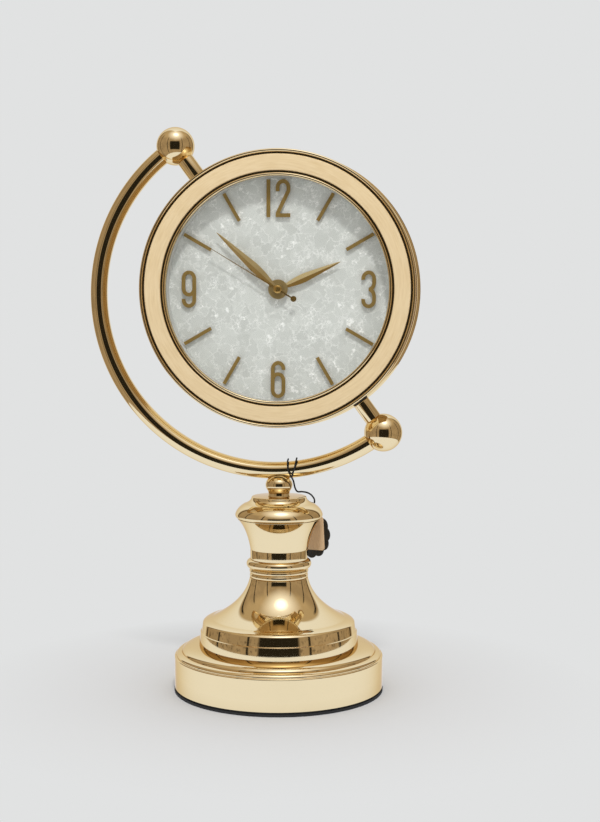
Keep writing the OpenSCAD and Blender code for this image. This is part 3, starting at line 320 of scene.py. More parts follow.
def handGold(look):
    f = newFinish("handGold")
    # Painted light and shade: a face is paler the more it turns up and left, towards the painted light, and darker the
    # more it turns away
    facingPaintedLight = f.node("VectorMath", {0: f.node("NewGeometry", out="Normal"), 1: look["towards"]},
                    operation="DOT_PRODUCT", out="Value")
    cloud = f.noise(90.0)
    tone = f.blend((facingPaintedLight * look["contrast"] + cloud * 0.2 + 0.2).clamp(), look["deep"], look["pale"])
    return f.principled(tone, metallic=look["metal"], roughness=look["roughness"] + cloud * look["rougher"],
                        normal=f.bump(f.noise(look["grain"]), look["strength"], look["depth"]))


# Crumpled pearl film: big faint cells with pale creases between them, fine threads in places, and bright flecks
pearlLook = {
    "base": shown(212, 214, 208), "dim": shown(196, 198, 192), "pale": shown(252, 252, 248),
    "cells": 150.0, "threads": 380.0, "flecks": 300.0,                   # to the metre
    "crumple": (140.0, 0.012), "crinkle": (420.0, 0.004),                # folds to the metre, and their reach, metres
    "creaseWidth": 0.07, "threadWidth": 0.09,
    "creaseShare": 0.5, "threadShare": 0.7, "fleckShare": 0.75,          # how much each of them shows
    "roughness": 0.30, "coat": 0.3, "coatRoughness": 0.1,
    "strength": 0.12, "depth": 0.1,
}


def pearl(look):
    f = newFinish("pearl")
    place = f.place()

    # The place, pushed about by a noise, so that the cells come out crumpled
    def bent(scale, reach):
        swirl = f.noise(scale, detail=4.0, roughness=0.65, out="Color")
        push = f.node("VectorMath", {0: swirl, 3: reach}, operation="SCALE")
        return f.node("VectorMath", {0: place, 1: push}, operation="ADD")

    def edges(at, scale, width):
        lines = f.node("TexVoronoi", {"Vector": at, "Scale": scale}, feature="DISTANCE_TO_EDGE", out="Distance")
        return f.ramp(lines, [(0.0, 1.0), (width, 0.0)])

    def eachCell(at, scale, part):
        cells = f.node("TexVoronoi", {"Vector": at, "Scale": scale}, out="Color")
        return f.node("SeparateColor", {0: cells}, out=part)

    broad, close = bent(*look["crumple"]), bent(*look["crinkle"])
    shade = eachCell(broad, look["cells"], 0)
    crease = edges(broad, look["cells"], look["creaseWidth"])
    crease = crease * f.ramp(f.noise(200.0), [(0.40, 0.15), (0.58, 1.0)])
    thread = edges(close, look["threads"], look["threadWidth"])
    thread = thread * f.ramp(f.noise(110.0, detail=4.0), [(0.50, 0.0), (0.62, 0.8)])
    fleck = f.ramp(eachCell(close, look["flecks"], 1), [(0.92, 0.0), (0.96, 1.0)])
    fleck = fleck * f.ramp(f.noise(500.0), [(0.45, 0.0), (0.6, 1.0)])
    cloud = f.noise(60.0, detail=5.0, roughness=0.6)
    tone = f.blend((shade * 0.7 + (cloud - 0.5) * 1.4).clamp(), look["base"], look["dim"])
    pale = crease * look["creaseShare"] + thread * look["threadShare"] + fleck * look["fleckShare"]
    return f.principled(f.blend(pale.clamp(), tone, look["pale"]), roughness=look["roughness"] + shade * 0.1,
                        coat=look["coat"], coatRoughness=look["coatRoughness"],
                        normal=f.bump(shade + crease, look["strength"], look["depth"]))


# Flat glass: clear from the front and mirror-like at a slant
glassLook = {"clear": (0.993, 0.996, 0.995, 1), "front": 0.02, "slant": 0.7, "power": 5.0, "roughness": 0.01}


def glass(look):
    f = newFinish("glass")
    clear = f.node("BsdfTransparent", {0: look["clear"]})
    gloss = f.node("BsdfGlossy", {0: (1, 1, 1, 1), 1: look["roughness"]})
    slant = f.node("LayerWeight", {0: 0.5}, out="Facing")
    share = slant.power(look["power"]) * look["slant"] + look["front"]
    return f.done(f.node("MixShader", {0: share, 1: clear, 2: gloss}))


# Plain finishes by slot: tone, roughness, share of metal, grain to the metre, its depth and its strength,
# how much the tone varies, and the coat
plainLooks = {
    "antique_gold": (shown(174, 144, 82), 0.38, 0.5, 500.0, 0.02, 0.2, 0.12, 0.0),
    "dark_gold": (shown(196, 160, 92), 0.20, 0.85, 700.0, 0.01, 0.2, 0.06, 0.0),
    "black_foam": ((0.020, 0.020, 0.020), 0.90, 0.0, 1500.0, 0.20, 0.7, 0.08, 0.0),
    "black_steel": ((0.030, 0.030, 0.030), 0.45, 0.0, 800.0, 0.04, 0.3, 0.08, 0.0),
    "cast_iron": ((0.090, 0.090, 0.095), 0.70, 0.6, 420.0, 0.30, 0.6, 0.08, 0.0),
    "zinc_steel": ((0.620, 0.630, 0.650), 0.28, 1.0, 700.0, 0.02, 0.3, 0.08, 0.0),
    "iron_plate": ((0.380, 0.390, 0.410), 0.40, 1.0, 500.0, 0.03, 0.3, 0.08, 0.0),
    "dial_aluminium": ((0.550, 0.560, 0.570), 0.40, 1.0, 300.0, 0.02, 0.3, 0.08, 0.0),
    "white_plastic": (shown(206, 205, 200), 0.50, 0.0, 900.0, 0.02, 0.3, 0.08, 0.0),
    "black_plastic": ((0.022, 0.022, 0.024), 0.48, 0.0, 1300.0, 0.06, 0.4, 0.08, 0.0),
    "grey_plastic": ((0.120, 0.120, 0.125), 0.50, 0.0, 1300.0, 0.05, 0.4, 0.08, 0.0),
    "wheel_plastic": ((0.700, 0.700, 0.660), 0.40, 0.0, 900.0, 0.02, 0.3, 0.08, 0.0),
    "wheel_brass": ((0.700, 0.500, 0.200), 0.30, 1.0, 600.0, 0.02, 0.3, 0.08, 0.0),
    "rubber": ((0.025, 0.025, 0.025), 0.80, 0.0, 1200.0, 0.06, 0.5, 0.08, 0.0),
    "copper_wire": ((0.600, 0.220, 0.090), 0.35, 0.8, 900.0, 0.08, 0.5, 0.08, 0.0),
    "board_green": ((0.010, 0.090, 0.030), 0.35, 0.0, 300.0, 0.03, 0.3, 0.08, 0.0),
    "cell_wrap": ((0.050, 0.060, 0.080), 0.35, 0.3, 300.0, 0.01, 0.2, 0.05, 0.3),
    "magnet": ((0.070, 0.070, 0.075), 0.50, 0.7, 500.0, 0.04, 0.3, 0.08, 0.0),
    "black_string": ((0.012, 0.012, 0.012), 0.75, 0.0, 2600.0, 0.20, 0.8, 0.08, 0.0),
    "black_card": ((0.018, 0.016, 0.014), 0.62, 0.0, 1100.0, 0.06, 0.5, 0.08, 0.0),
    "tan_paper": (shown(242, 212, 174), 0.60, 0.0, 1400.0, 0.04, 0.5, 0.10, 0.0),
}


def plainFinish(slot, tone, roughness, metal, grain, depth, strength, vary, coat):
    first, *rest = slot.split("_")
    f = newFinish(first + "".join(word.title() for word in rest))
    cloud = f.noise(70.0, detail=4.0, roughness=0.55)
    skin = f.noise(grain, roughness=0.6)
    return f.principled(f.blend(cloud, tone, times(tone, 1 - vary)), metallic=metal, coat=coat,
                        roughness=roughness + (cloud - 0.5) * 0.12, normal=f.bump(skin, strength, depth))


finishes = {slot: plainFinish(slot, *look) for slot, look in plainLooks.items()}
finishes["polished_gold"] = polishedGold(goldLook)
finishes["brushed_gold"] = brushedGold(brushedLook)
finishes["satin_gold"] = handGold(handLook)
finishes["clear_glass"] = glass(glassLook)
finishes["pearl"] = pearl(pearlLook)
print("finishes made")

# Every CAD node wears the finish of its slot
slotOf = {part["node"]: part["material_slot"] for part in frame["record"]["subparts"]}
for node, slot in slotOf.items():
    solid = frame["nodes"][node]
    solid.data.materials.clear()
    solid.data.materials.append(finishes[slot])


# Profiles are points from the axis and up
def arc(c, r, start, stop, n=14, ry=None):
    out = []
    for i in range(n + 1):
        a = math.radians(start + (stop - start) * i / n)
        out.append((c[0] + r * math.cos(a), c[1] + (r if ry is None else ry) * math.sin(a)))
    return out


# Runs from p to s and is pulled towards q
def curve(p, q, s, n=24):
    out = []
    for i in range(n + 1):
        t = i / n
        out.append(tuple((1 - t) ** 2 * p[k] + 2 * t * (1 - t) * q[k] + t * t * s[k] for k in (0, 1)))
    return out


# Rounds each corner that turns by more than an angle, and takes no more than a share of the sides beside it
def eased(points, radius, corner=20, share=0.4, steps=4, same=1e-4):
    clean = []
    for p in points:
        if not clean or math.dist(p, clean[-1]) > same:
            clean.append(p)
    if math.dist(clean[0], clean[-1]) < same:
        clean.pop()
    out = []
    count = len(clean)
    for i in range(count):
        before, here, after = (Vector(clean[k % count]) for k in (i - 1, i, i + 1))
        u, v = before - here, after - here
        bend = math.pi - u.angle(v)
        if bend < math.radians(corner) or here.x < atAxis:
            out.append(tuple(here))
            continue
        back = min(radius * math.tan(bend / 2), u.length * share, v.length * share)
        a, b = here + u.normalized() * back, here + v.normalized() * back
        out += curve(a, here, b, steps)
    return out


# Gives a piece its body and its finish, which is its slot's unless another is named; edges over an angle stay sharp
def dress(piece, body, node=None, sharp=32, slot=None, finish=None):
    for face in piece.data.polygons:
        face.use_smooth = True
    piece.data.set_sharp_from_angle(angle=math.radians(sharp))
    slot = slot or slotOf[node]
    piece.data.materials.clear()
    piece.data.materials.append(finishes[finish or slot])
    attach(piece, body)
    if node:
        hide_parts(node)
    return piece


def meshPiece(name, verts, faces, body, node=None, **dressing):
    mesh = bpy.data.meshes.new(name)
    mesh.from_pydata([tuple(v) for v in verts], [], faces)
    mesh.validate()
    mesh.update()
    return dress(linked(name, mesh), body, node, **dressing)


def inStand(p):
    return Vector(p) * mm


# The clock's own frame: x right, y up, z towards the viewer
def inClock(p):
    return Vector((p[0], -p[2], p[1] + dialMiddle)) * mm


# Turns a closed profile round its axis
def lathe(name, profile, body, node, steps=192, ease=0.2, put=inStand, sharp=32):
    ring = eased(profile, ease)
    area = sum(a[0] * b[1] - b[0] * a[1] for a, b in zip(ring, ring[1:] + ring[:1]))
    if area < 0:
        ring.reverse()
    verts, rows = [], []
    for r, z in ring:
        if r < atAxis:
            rows.append([len(verts)] * steps)
            verts.append(put((0, 0, z)))
            continue
        rows.append(list(range(len(verts), len(verts) + steps)))
        for k in range(steps):
            a = 2 * math.pi * k / steps
            verts.append(put((r * math.cos(a), r * math.sin(a), z)))
    faces = []
    for low, high in zip(rows, rows[1:] + rows[:1]):
        for k in range(steps):
            m = (k + 1) % steps
            corners = []
            for v in (low[k], low[m], high[m], high[k]):
                if v not in corners:
                    corners.append(v)
            if len(corners) > 2:
                faces.append(corners)
    return meshPiece(name, verts, faces, body, node, sharp=sharp)


# Stand
stand = {
    # Heights over the table
    "drumZ": 2.5, "drumTop": 21.5, "baseTop": 27.5, "tierTop": 40.9, "bellTop": 67.8,
    "waistTop": 84.8, "cupTop": 103.3,
    # Radii
    "baseR": 62.6, "tierR": 47.9, "waistR": 17.5, "capTopR": 16.5, "beadR": 8.1, "bore": 12.0,
    # Base and bell
    "wall": 1.2, "groove": 0.7, "step": 0.3,       # of the shells, the grooves and the small steps beside mouldings
    "ledge": 8.0,              # width of the ledge that the second tier stands on
    "edge": 0.8,               # rounding of the drum's and the cap's edge
    "mould": (3.8, 2.1),       # width and height of the first moulding
    "mouldEnd": 80.0,          # how far round it runs
    "tierBand": (0.8, 7.8),    # lean and height of the tier's lower band
    "tierStep": 1.9,
    "brow": (5.5, 2.6),        # width and height of the tier's shoulder
    "flare": (0.86, 0.39),     # pull of the bell's curve towards the axis, and its rise
    # Waist, cup and cap
    "ringBead": 1.4, "beadOut": (0.05, 0.25),      # half the height of a bead, and how far each stands out
    "torus": (2.0, 2.8),       # how far it stands out, and half its height
    "cupBulge": 1.7, "cupLip": 1.3,                # pull of the cup's curve, and how far its lip lies in
    "capRim": 2.4,             # half the height of the rim
    "capRise": 6.6, "knee": 0.45,                  # where the cap's shoulder turns: how high, and how far out
    # Neck
    "collar": (3.4, 0.4),      # height and hollow of the collar
    "beadRy": 6.2,             # half the height of the flattened ball
    "beadFrom": 34.0,          # how far under its middle the ball starts
}


# The inside of a shell, a wall in and a wall down
def wallOf(outside, wall, floor):
    return [(p[0] - wall, max(p[1] - wall, floor)) for p in reversed(outside)]


def makeBase(s):
    edge, step, top = s["edge"], s["step"], s["baseTop"]
    lip = (s["baseR"] - edge, s["drumTop"] - edge)
    w, h = s["mould"]
    mould = (lip[0] - step - w, s["drumTop"] + step)
    end = math.radians(s["mouldEnd"])
    foot = (mould[0] + w * math.cos(end) - s["groove"] / 2, mould[1] + h * math.sin(end) - step / 2)
    drum = [(s["baseR"], s["drumZ"])] + arc(lip, edge, 0, 90, 8)
    drum += [(lip[0] - step, s["drumTop"])] + arc(mould, w, 0, s["mouldEnd"], 20, h)
    drum += arc((s["tierR"], foot[1]), foot[0] - s["tierR"], 0, 90, 32, top - foot[1])
    opening = s["tierR"] - s["ledge"]
    rim = [(opening, top), (opening, top - s["wall"])]
    lathe("base_drum", drum + rim + wallOf(drum, s["wall"], s["drumZ"]), "stand", "base_shell", steps=256)


def makeBell(s):
    g, low = s["groove"], s["baseTop"] + s["tierBand"][1]
    band = s["tierR"] - s["tierStep"] - g / 2
    brow = (band - s["brow"][0], s["tierTop"] + s["brow"][1])
    pull = (brow[0] + s["flare"][0] * (s["waistR"] - brow[0]), brow[1] + s["flare"][1] * (s["bellTop"] - brow[1]))
    bell = [(s["tierR"], s["baseTop"]), (s["tierR"] - s["tierBand"][0], low)]
    bell += [(band + g, low + g / 2), (band, s["tierTop"])]
    bell += curve((band, s["tierTop"]), (band - g, s["tierTop"] + s["brow"][1] * 2 / 3), brow)
    bell += curve(brow, pull, (s["waistR"], s["bellTop"]), 48)
    rim = [(s["bore"], s["bellTop"]), (s["bore"], s["bellTop"] - s["wall"])]
    lathe("tier_and_bell", bell + rim + wallOf(bell, s["wall"], s["baseTop"]), "stand", "tier_shell", steps=256)


def makeWaist(s):
    g, bead = s["groove"], s["ringBead"]
    out, half = s["torus"]
    torus = s["bellTop"] + 4 * bead + half
    mid, band = s["waistR"] - g, s["waistR"] - s["step"]
    waist = [(s["bore"], s["bellTop"]), (mid, s["bellTop"])]
    for level, beadOut in zip((1, 3), s["beadOut"]):
        waist += arc((mid, s["bellTop"] + level * bead), g + beadOut, -90, 90, 12, bead)
    waist += arc((mid, torus), out + g, -90, 90, 24, half)
    waist += [(band, torus + half), (band, s["waistTop"]), (s["bore"], s["waistTop"])]
    lathe("waist_turning", waist, "stand", "waist_ring", ease=0.1)


def makeCup(s):
    low, top, bore, bulge = s["waistTop"], s["cupTop"], s["bore"], s["cupBulge"]
    lip, wall = capRadius - s["cupLip"], 2 * s["wall"]
    middle = low + (top - low) * 2 / 3
    outside = curve((s["waistR"] - s["step"], low), (s["waistR"] + bulge, middle), (lip, top))
    inside = curve((bore, low + wall), (bore + bulge, middle), (lip - wall, top), 10)
    cup = [(bore, low)] + outside + [(lip - wall, top)] + inside[::-1]
    lathe("cup", cup, "stand", "column_cup")


def makeCap(s):
    half, edge, top = s["capRim"], s["edge"], s["capTopR"]
    rim = (capRadius - half, s["cupTop"] + half)
    knee = (top + (capRadius - top) * s["knee"], s["cupTop"] + s["capRise"] + half)
    cap = [(0, s["cupTop"])] + arc(rim, half, -90, 20, 20)
    cap += curve(cap[-1], (capRadius - half / 2, knee[1] - half), knee)
    cap += curve(knee, (top + s["groove"], knee[1] + half / 2), (top, capTop - edge))
    cap += arc((top - edge, capTop - edge), edge, 0, 90, 8) + [(0, capTop)]
    lathe("cap", cap, "stand", "column_cap")


# The flattened ball on its collar, which the arm's tube rests in
def makeNeck(s):
    start = math.radians(s["beadFrom"])
    r = s["beadR"] * math.cos(start)
    high, hollow = s["collar"]
    middle = capTop + high + s["beadRy"] * math.sin(start)
    bead = [(0, capTop)] + curve((r, capTop), (r - 2 * hollow, capTop + high / 2), (r, capTop + high), 10)
    bead += arc((0, middle), s["beadR"], -s["beadFrom"], 90, 40, s["beadRy"])
    lathe("neck", bead, "stand", "neck_bead", steps=128, ease=0.1)


for make in (makeBase, makeBell, makeWaist, makeCup, makeCap, makeNeck):
    make(stand)


# Geometry Nodes: a tree with named inputs, run once to make a piece
class Graph:
    def __init__(self, name, inputs):
        self.tree = bpy.data.node_groups.new(name, "GeometryNodeTree")
        self.tree.interface.new_socket("Geometry", in_out="INPUT", socket_type="NodeSocketGeometry")
        self.ids = {}
        for label, kind in inputs.items():
            made = self.tree.interface.new_socket(label, in_out="INPUT", socket_type="NodeSocket" + kind)
            self.ids[label] = made.identifier
        self.tree.interface.new_socket("Geometry", in_out="OUTPUT", socket_type="NodeSocketGeometry")
        self.source = self.tree.nodes.new("NodeGroupInput")
        self.sink = self.tree.nodes.new("NodeGroupOutput")

    def given(self, label):
        return self.source.outputs[label]

    def node(self, kind, inputs=None, **settings):
        made = self.tree.nodes.new(kind)
        for key, value in settings.items():
            setattr(made, key, value)
        for key, value in (inputs or {}).items():
            if isinstance(value, bpy.types.NodeSocket):
                self.tree.links.new(value, made.inputs[key])
            else:
                made.inputs[key].default_value = value
        return made.outputs[0]

    # Runs the tree on a holder mesh and returns the plain piece that comes out
    def run(self, name, geometry, values, mesh=None):
        whole = self.node("GeometryNodeRealizeInstances", {0: geometry})
        painted = self.node("GeometryNodeSetMaterial", {0: whole, 2: self.given("Finish")})
        self.tree.links.new(painted, self.sink.inputs[0])
        holder = linked(name + "_holder", mesh or bpy.data.meshes.new(name + "_holder"))
        modifier = holder.modifiers.new("build", "NODES")
        modifier.node_group = self.tree
        for label, value in values.items():
            modifier[self.ids[label]] = value
        ready = holder.evaluated_get(bpy.context.evaluated_depsgraph_get())
        made = bpy.data.meshes.new_from_object(ready)
        made.name = name
        bpy.data.objects.remove(holder)
        return linked(name, made)


def merged(piece):
    work = bmesh.new()
    work.from_mesh(piece.data)
    bmesh.ops.remove_doubles(work, verts=work.verts, dist=touching)
    bmesh.ops.recalc_face_normals(work, faces=work.faces)
    work.to_mesh(piece.data)
    work.free()
    return piece


# Arm: a tube along a little over half a ring, with a ball and a swivel pin at each end
arm = {
    "reach": 105.0,            # radius of the ring that the tube follows
    "offset": 4.7,             # from that ring's middle to the dial's
    "tilt": 36.3,              # lean of the swivel axis
    "tube": 5.0, "ball": 11.3, "pin": 5.0, "bore": 2.05,        # radii
    "clear": 1.1,              # between a pin and the case
    "sink": 5.0,               # how far tube and pins go into the balls
    "chamfer": 0.6,
}


def makeTube(a, tilt):
    middle = (-a["offset"] * math.cos(tilt), -a["offset"] * math.sin(tilt), 0)
    half = 90 + math.degrees(math.asin(a["offset"] / a["reach"]))
    inBall = math.degrees(math.asin((a["ball"] - a["sink"]) / a["reach"]))
    g = Graph("sweepTube", {"Radius": "Float", "Tube": "Float", "Start": "Float", "Sweep": "Float",
                            "Finish": "Material"})
    path = g.node("GeometryNodeCurveArc", {"Resolution": 200, "Radius": g.given("Radius"),
                                           "Start Angle": g.given("Start"), "Sweep Angle": g.given("Sweep")})
    section = g.node("GeometryNodeCurvePrimitiveCircle", {"Resolution": 48, "Radius": g.given("Tube")})
    tube = g.node("GeometryNodeCurveToMesh", {0: path, 1: section, "Fill Caps": True})
    piece = g.run("arm_tube", tube, {
        "Radius": a["reach"] * mm, "Tube": a["tube"] * mm, "Start": math.radians(a["tilt"] + 180 - half + inBall),
        "Sweep": math.radians(2 * (half - inBall)), "Finish": finishes["polished_gold"]})
    piece.data.transform(Matrix.Translation(inClock(middle)) @ Matrix.Rotation(math.pi / 2, 4, "X"))
    dress(merged(piece), "stand", "arm")


# A ball and a pin, turned on the swivel axis
def makeEnd(a, tilt, end, side):
    reach = math.sqrt(a["reach"] ** 2 - a["offset"] ** 2)
    axis = Vector((-math.sin(tilt), math.cos(tilt), 0)) * side
    across = Vector((axis.y, -axis.x, 0))

    def onAxis(p):
        return inClock(across * p[0] + Vector((0, 0, 1)) * p[1] + axis * p[2])

    ball = [(0, reach - a["ball"])] + arc((0, reach), a["ball"], -90, 90, 64) + [(0, reach + a["ball"])]
    lathe(end + "_end_ball", ball, "stand", end + "_ball", steps=96, put=onAxis)
    low, high = caseRadius + a["clear"], reach - a["ball"] + a["sink"]
    pin = [(a["bore"], low), (a["pin"] - a["chamfer"], low), (a["pin"], low + a["chamfer"]), (a["pin"], high),
           (a["bore"], high)]
    lathe(end + "_swivel_pin", pin, "stand", end + "_pin", steps=96, put=onAxis)


makeTube(arm, math.radians(arm["tilt"]))
for end, side in (("upper", 1), ("lower", -1)):
    makeEnd(arm, math.radians(arm["tilt"]), end, side)
print("stand and arm made")

# Case and bezel, as radii and heights in the clock's own frame
case = {
    "wall": 1.4, "edge": 0.8,
    "front": 18.0, "joint": 14.0, "seam": 0.25,    # front of the bezel, where it meets the case, and the gap there
    "flare": (2.4, 10.0),      # how far the back stands out, and over what depth
    "ledge": (3.6, 3.0),       # width of the ledge for the back cover, and how deep it lies
    "rim": 1.8, "flat": 1.25, "brushed": 9.5, "lip": 1.8,        # widths over the bezel, from the outside in
    "brushedT": 1.1, "recess": 0.3, "cut": 0.35,   # the brushed ring's thickness, how deep it lies, and its bevel
    "lensZ": 13.0, "lensT": 2.0, "dialZ": 4.5,     # the backs of lens and dial, and the lens's thickness
    "land": 4.6, "sleeve": 1.8, "past": 1.0,       # the sleeve round the dial: how far out, how thick, how far past it
    "spigot": 6.0,             # how far the bezel goes into the case
    "fit": 0.05,               # between pieces that sit in each other
}


def makeDrum(c):
    f, r, w = c["front"], caseRadius, caseRadius - c["wall"]
    joint, ledge = c["joint"] - c["seam"], c["ledge"][1] - f
    top, inner = ledge + c["wall"], w - c["ledge"][0]
    back = r + c["flare"][0]
    shell = [(r, joint), (w, joint), (w, top), (inner, top), (inner, ledge), (w, ledge), (w, -f)]
    shell += arc((back - c["edge"], c["edge"] - f), c["edge"], -90, 0, 8)
    shell += reversed(curve((r, c["flare"][1] - f), (r, c["flare"][1] / 3 - f), (back, c["edge"] - f)))
    lathe("case_drum", shell, "head", "case_shell", steps=256, ease=0.35, put=inClock)


def makeBezel(c):
    f, half, lip = c["front"], c["rim"] / 2, c["lip"] / 2
    flat, fit, cut = f - half, c["fit"], c["cut"]
    outer = caseRadius - c["rim"] - c["flat"]
    inner = outer - c["brushed"]
    opening = inner - c["flat"] - c["lip"]
    floor, sleeve, spigot = f - c["recess"] - c["brushedT"], opening + c["land"], caseRadius - c["wall"] - fit
    top, t = c["lensZ"] + c["lensT"], c["sleeve"]
    past, end = c["dialZ"] - c["past"], c["joint"] - c["spigot"]
    rim = [(caseRadius, c["joint"])] + arc((caseRadius - half, flat), half, 0, 180, 24)
    rim += [(outer, flat), (outer, floor), (inner, floor), (inner, flat)]
    rim += arc((opening + lip, flat), lip, 0, 180, 24)
    rim += [(opening, top), (sleeve, top), (sleeve, past), (sleeve + t, past), (sleeve + t, top),
            (spigot - t, top), (spigot - t, end), (spigot, end), (spigot, c["joint"])]
    lathe("bezel_turning", rim, "head", "bezel_rim", steps=256, ease=0.12, put=inClock, sharp=40)

    high, a, b = floor + c["brushedT"], outer - fit, inner + fit
    face = [(a, floor), (a, high - cut), (a - cut, high), (b + cut, high), (b, high - cut), (b, floor)]
    lathe("brushed_ring", face, "head", "bezel_face", steps=256, ease=0.04, put=inClock, sharp=20)

    wall = sleeve - fit
    spacer = [(wall, c["dialZ"]), (wall, c["lensZ"]), (opening, c["lensZ"]), (opening, c["dialZ"])]
    lathe("rehaut", spacer, "head", "rehaut_ring", ease=0.1, put=inClock)


makeDrum(case)
makeBezel(case)


# Small turned and cut pieces keep the CAD shape, with softened edges
def cleanCopy(node, flat=1):
    work = bmesh.new()
    work.from_mesh(frame["nodes"][node].data)
    bmesh.ops.remove_doubles(work, verts=work.verts, dist=touching)
    bmesh.ops.dissolve_limit(work, angle_limit=math.radians(flat), verts=work.verts, edges=work.edges)
    return work


# Rounds the edges at which a mesh turns by more than a corner's angle
def rounded(name, work, width, corner=35, segments=3):
    mesh = bpy.data.meshes.new(name)
    work.to_mesh(mesh)
    work.free()
    piece = linked(name, mesh)
    edge = piece.modifiers.new("edge", "BEVEL")
    edge.width = width * mm
    edge.segments = segments
    edge.limit_method = "ANGLE"
    edge.angle_limit = math.radians(corner)
    ready = piece.evaluated_get(bpy.context.evaluated_depsgraph_get())
    made = bpy.data.meshes.new_from_object(ready)
    piece.modifiers.clear()
    piece.data = made
    return piece


def softened(node, body, width, sharp=30, finish=None):
    return dress(rounded(node + "_soft", cleanCopy(node), width), body, node, sharp, finish=finish)


# The piece of a node that lies in one direction, give or take a reach, turned to three o'clock about the dial's middle
def oneOf(node, degrees, width, reach=10):
    work = cleanCopy(node)
    for v in work.verts:
        v.co.z -= dialMiddle * mm
    far = [v for v in work.verts
           if abs((math.degrees(math.atan2(v.co.z, v.co.x)) - degrees + 180) % 360 - 180) > reach]
    bmesh.ops.delete(work, geom=far, context="VERTS")
    bmesh.ops.rotate(work, verts=work.verts, cent=(0, 0, 0), matrix=Matrix.Rotation(math.radians(degrees), 3, "Y"))
    return rounded(node + "_seed", work, width)


# Rings round the dial's middle: how many places, where the first is, and every how many of them one stays empty
hourMarkers = {"count": 12, "first": 30.0, "empty": 3, "soft": 0.16}
coverScrews = {"count": 4, "first": 15.0, "empty": 99, "soft": 0.12}     # none of them is empty


# Copies of one piece in a ring, in Geometry Nodes
def makeRing(node, body, ring):
    seed = oneOf(node, ring["first"], ring["soft"])
    g = Graph("ringOfCopies", {"Count": "Int", "Step": "Float", "Start": "Float", "Empty": "Int", "Middle": "Vector",
                               "Finish": "Material"})
    index = g.node("GeometryNodeInputIndex")
    points = g.node("GeometryNodeMeshLine", {"Count": g.given("Count"), "Start Location": g.given("Middle"),
                                             "Offset": (0, 0, 0)})
    turn = g.node("ShaderNodeMath", {0: index, 1: g.given("Step"), 2: g.given("Start")}, operation="MULTIPLY_ADD")
    back = g.node("ShaderNodeMath", {0: turn, 1: -1.0}, operation="MULTIPLY")
    number = g.node("ShaderNodeMath", {0: index, 1: 1.0}, operation="ADD")
    keep = g.node("ShaderNodeMath", {0: number, 1: g.given("Empty")}, operation="MODULO")
    copies = g.node("GeometryNodeInstanceOnPoints", {
        "Points": points, "Selection": keep, "Instance": g.given("Geometry"),
        "Rotation": g.node("ShaderNodeCombineXYZ", {1: back})})
    piece = g.run(node + "_ring", copies, {
        "Count": ring["count"], "Step": math.radians(360.0 / ring["count"]), "Start": math.radians(ring["first"]),
        "Empty": ring["empty"], "Middle": (0, 0, dialMiddle * mm), "Finish": finishes[slotOf[node]]}, seed.data)
    bpy.data.objects.remove(seed)
    dress(piece, body, node, sharp=30)


# Softening of the edges, and the angle from which the ridge of a hand stays sharp
dialPieces = {"numeral": 0.16, "hand": 0.04, "secondHand": 0.05, "ridge": 9}

makeRing("hour_markers", "head", hourMarkers)
makeRing("cover_screws", "head", coverScrews)
for numeral in ("numeral_12", "numeral_3", "numeral_6", "numeral_9"):
    softened(numeral, "head", dialPieces["numeral"])
softened("hour_hand", "hour_group", dialPieces["hand"], dialPieces["ridge"], "satin_gold")
softened("minute_hand", "minute_group", dialPieces["hand"], dialPieces["ridge"], "satin_gold")
softened("second_hand", "second_group", dialPieces["secondHand"], finish="dark_gold")
print("case and dial made")

# Tag on its string
tag = {
    "gap": 0.3, "thick": 0.8, "soft": 0.12,
    "lean": -4.0, "middle": 91.0,              # lean of the card, and height of its middle
    "label": (24.0, 21.0), "corner": 2.2,
    "labelT": 0.12, "labelUp": 0.6, "labelGap": 0.01,
    "labelEdge": (0.97, 0.03),                 # the top face's share of the outline, and how far it stands up
    # The string's other strand, past the neck
    "strand": [(10.6, 0.4, 139.6), (10.5, -3.6, 138.2), (9.9, -5.7, 134.6), (8.9, -6.4, 131.4), (8.1, -6.5, 128.4)],
}


# From the tag's own frame, x along it, y up it and z in towards the column
def inTag(t):
    foot = polar(capRadius + t["gap"] + t["thick"], tagSide)
    return (Matrix.Translation(Vector((foot.x, foot.y, t["middle"])) * mm)
            @ Matrix.Rotation(math.radians(tagSide - 90), 4, "Z")
            @ Matrix.Rotation(math.radians(t["lean"]), 4, "Y")
            @ Matrix.Rotation(math.radians(90), 4, "X") @ Matrix.Scale(mm, 4))


def makeLabel(t):
    w, h, r = t["label"][0] / 2, t["label"][1] / 2, t["corner"]
    ring = []
    for cx, cy, start in ((w - r, h - r, 0), (r - w, h - r, 90), (r - w, r - h, 180), (w - r, r - h, 270)):
        ring += arc((cx, cy), r, start, start + 90, 6)
    n = len(ring)
    share, rise = t["labelEdge"]
    low, high = t["thick"] + t["labelGap"], t["thick"] + t["labelT"]
    verts = [(x * k, y * k + t["labelUp"], z) for k, z in ((1, low), (1, high), (share, high + rise)) for x, y in ring]
    faces = [list(reversed(range(n))), list(range(2 * n, 3 * n))]
    for base in (0, n):
        faces += [[base + k, base + (k + 1) % n, base + n + (k + 1) % n, base + n + k] for k in range(n)]
    place = inTag(t)
    return meshPiece("tag_label", [place @ Vector(v) for v in verts], faces, "stand", sharp=40, slot="black_card",
                     finish="tan_paper")


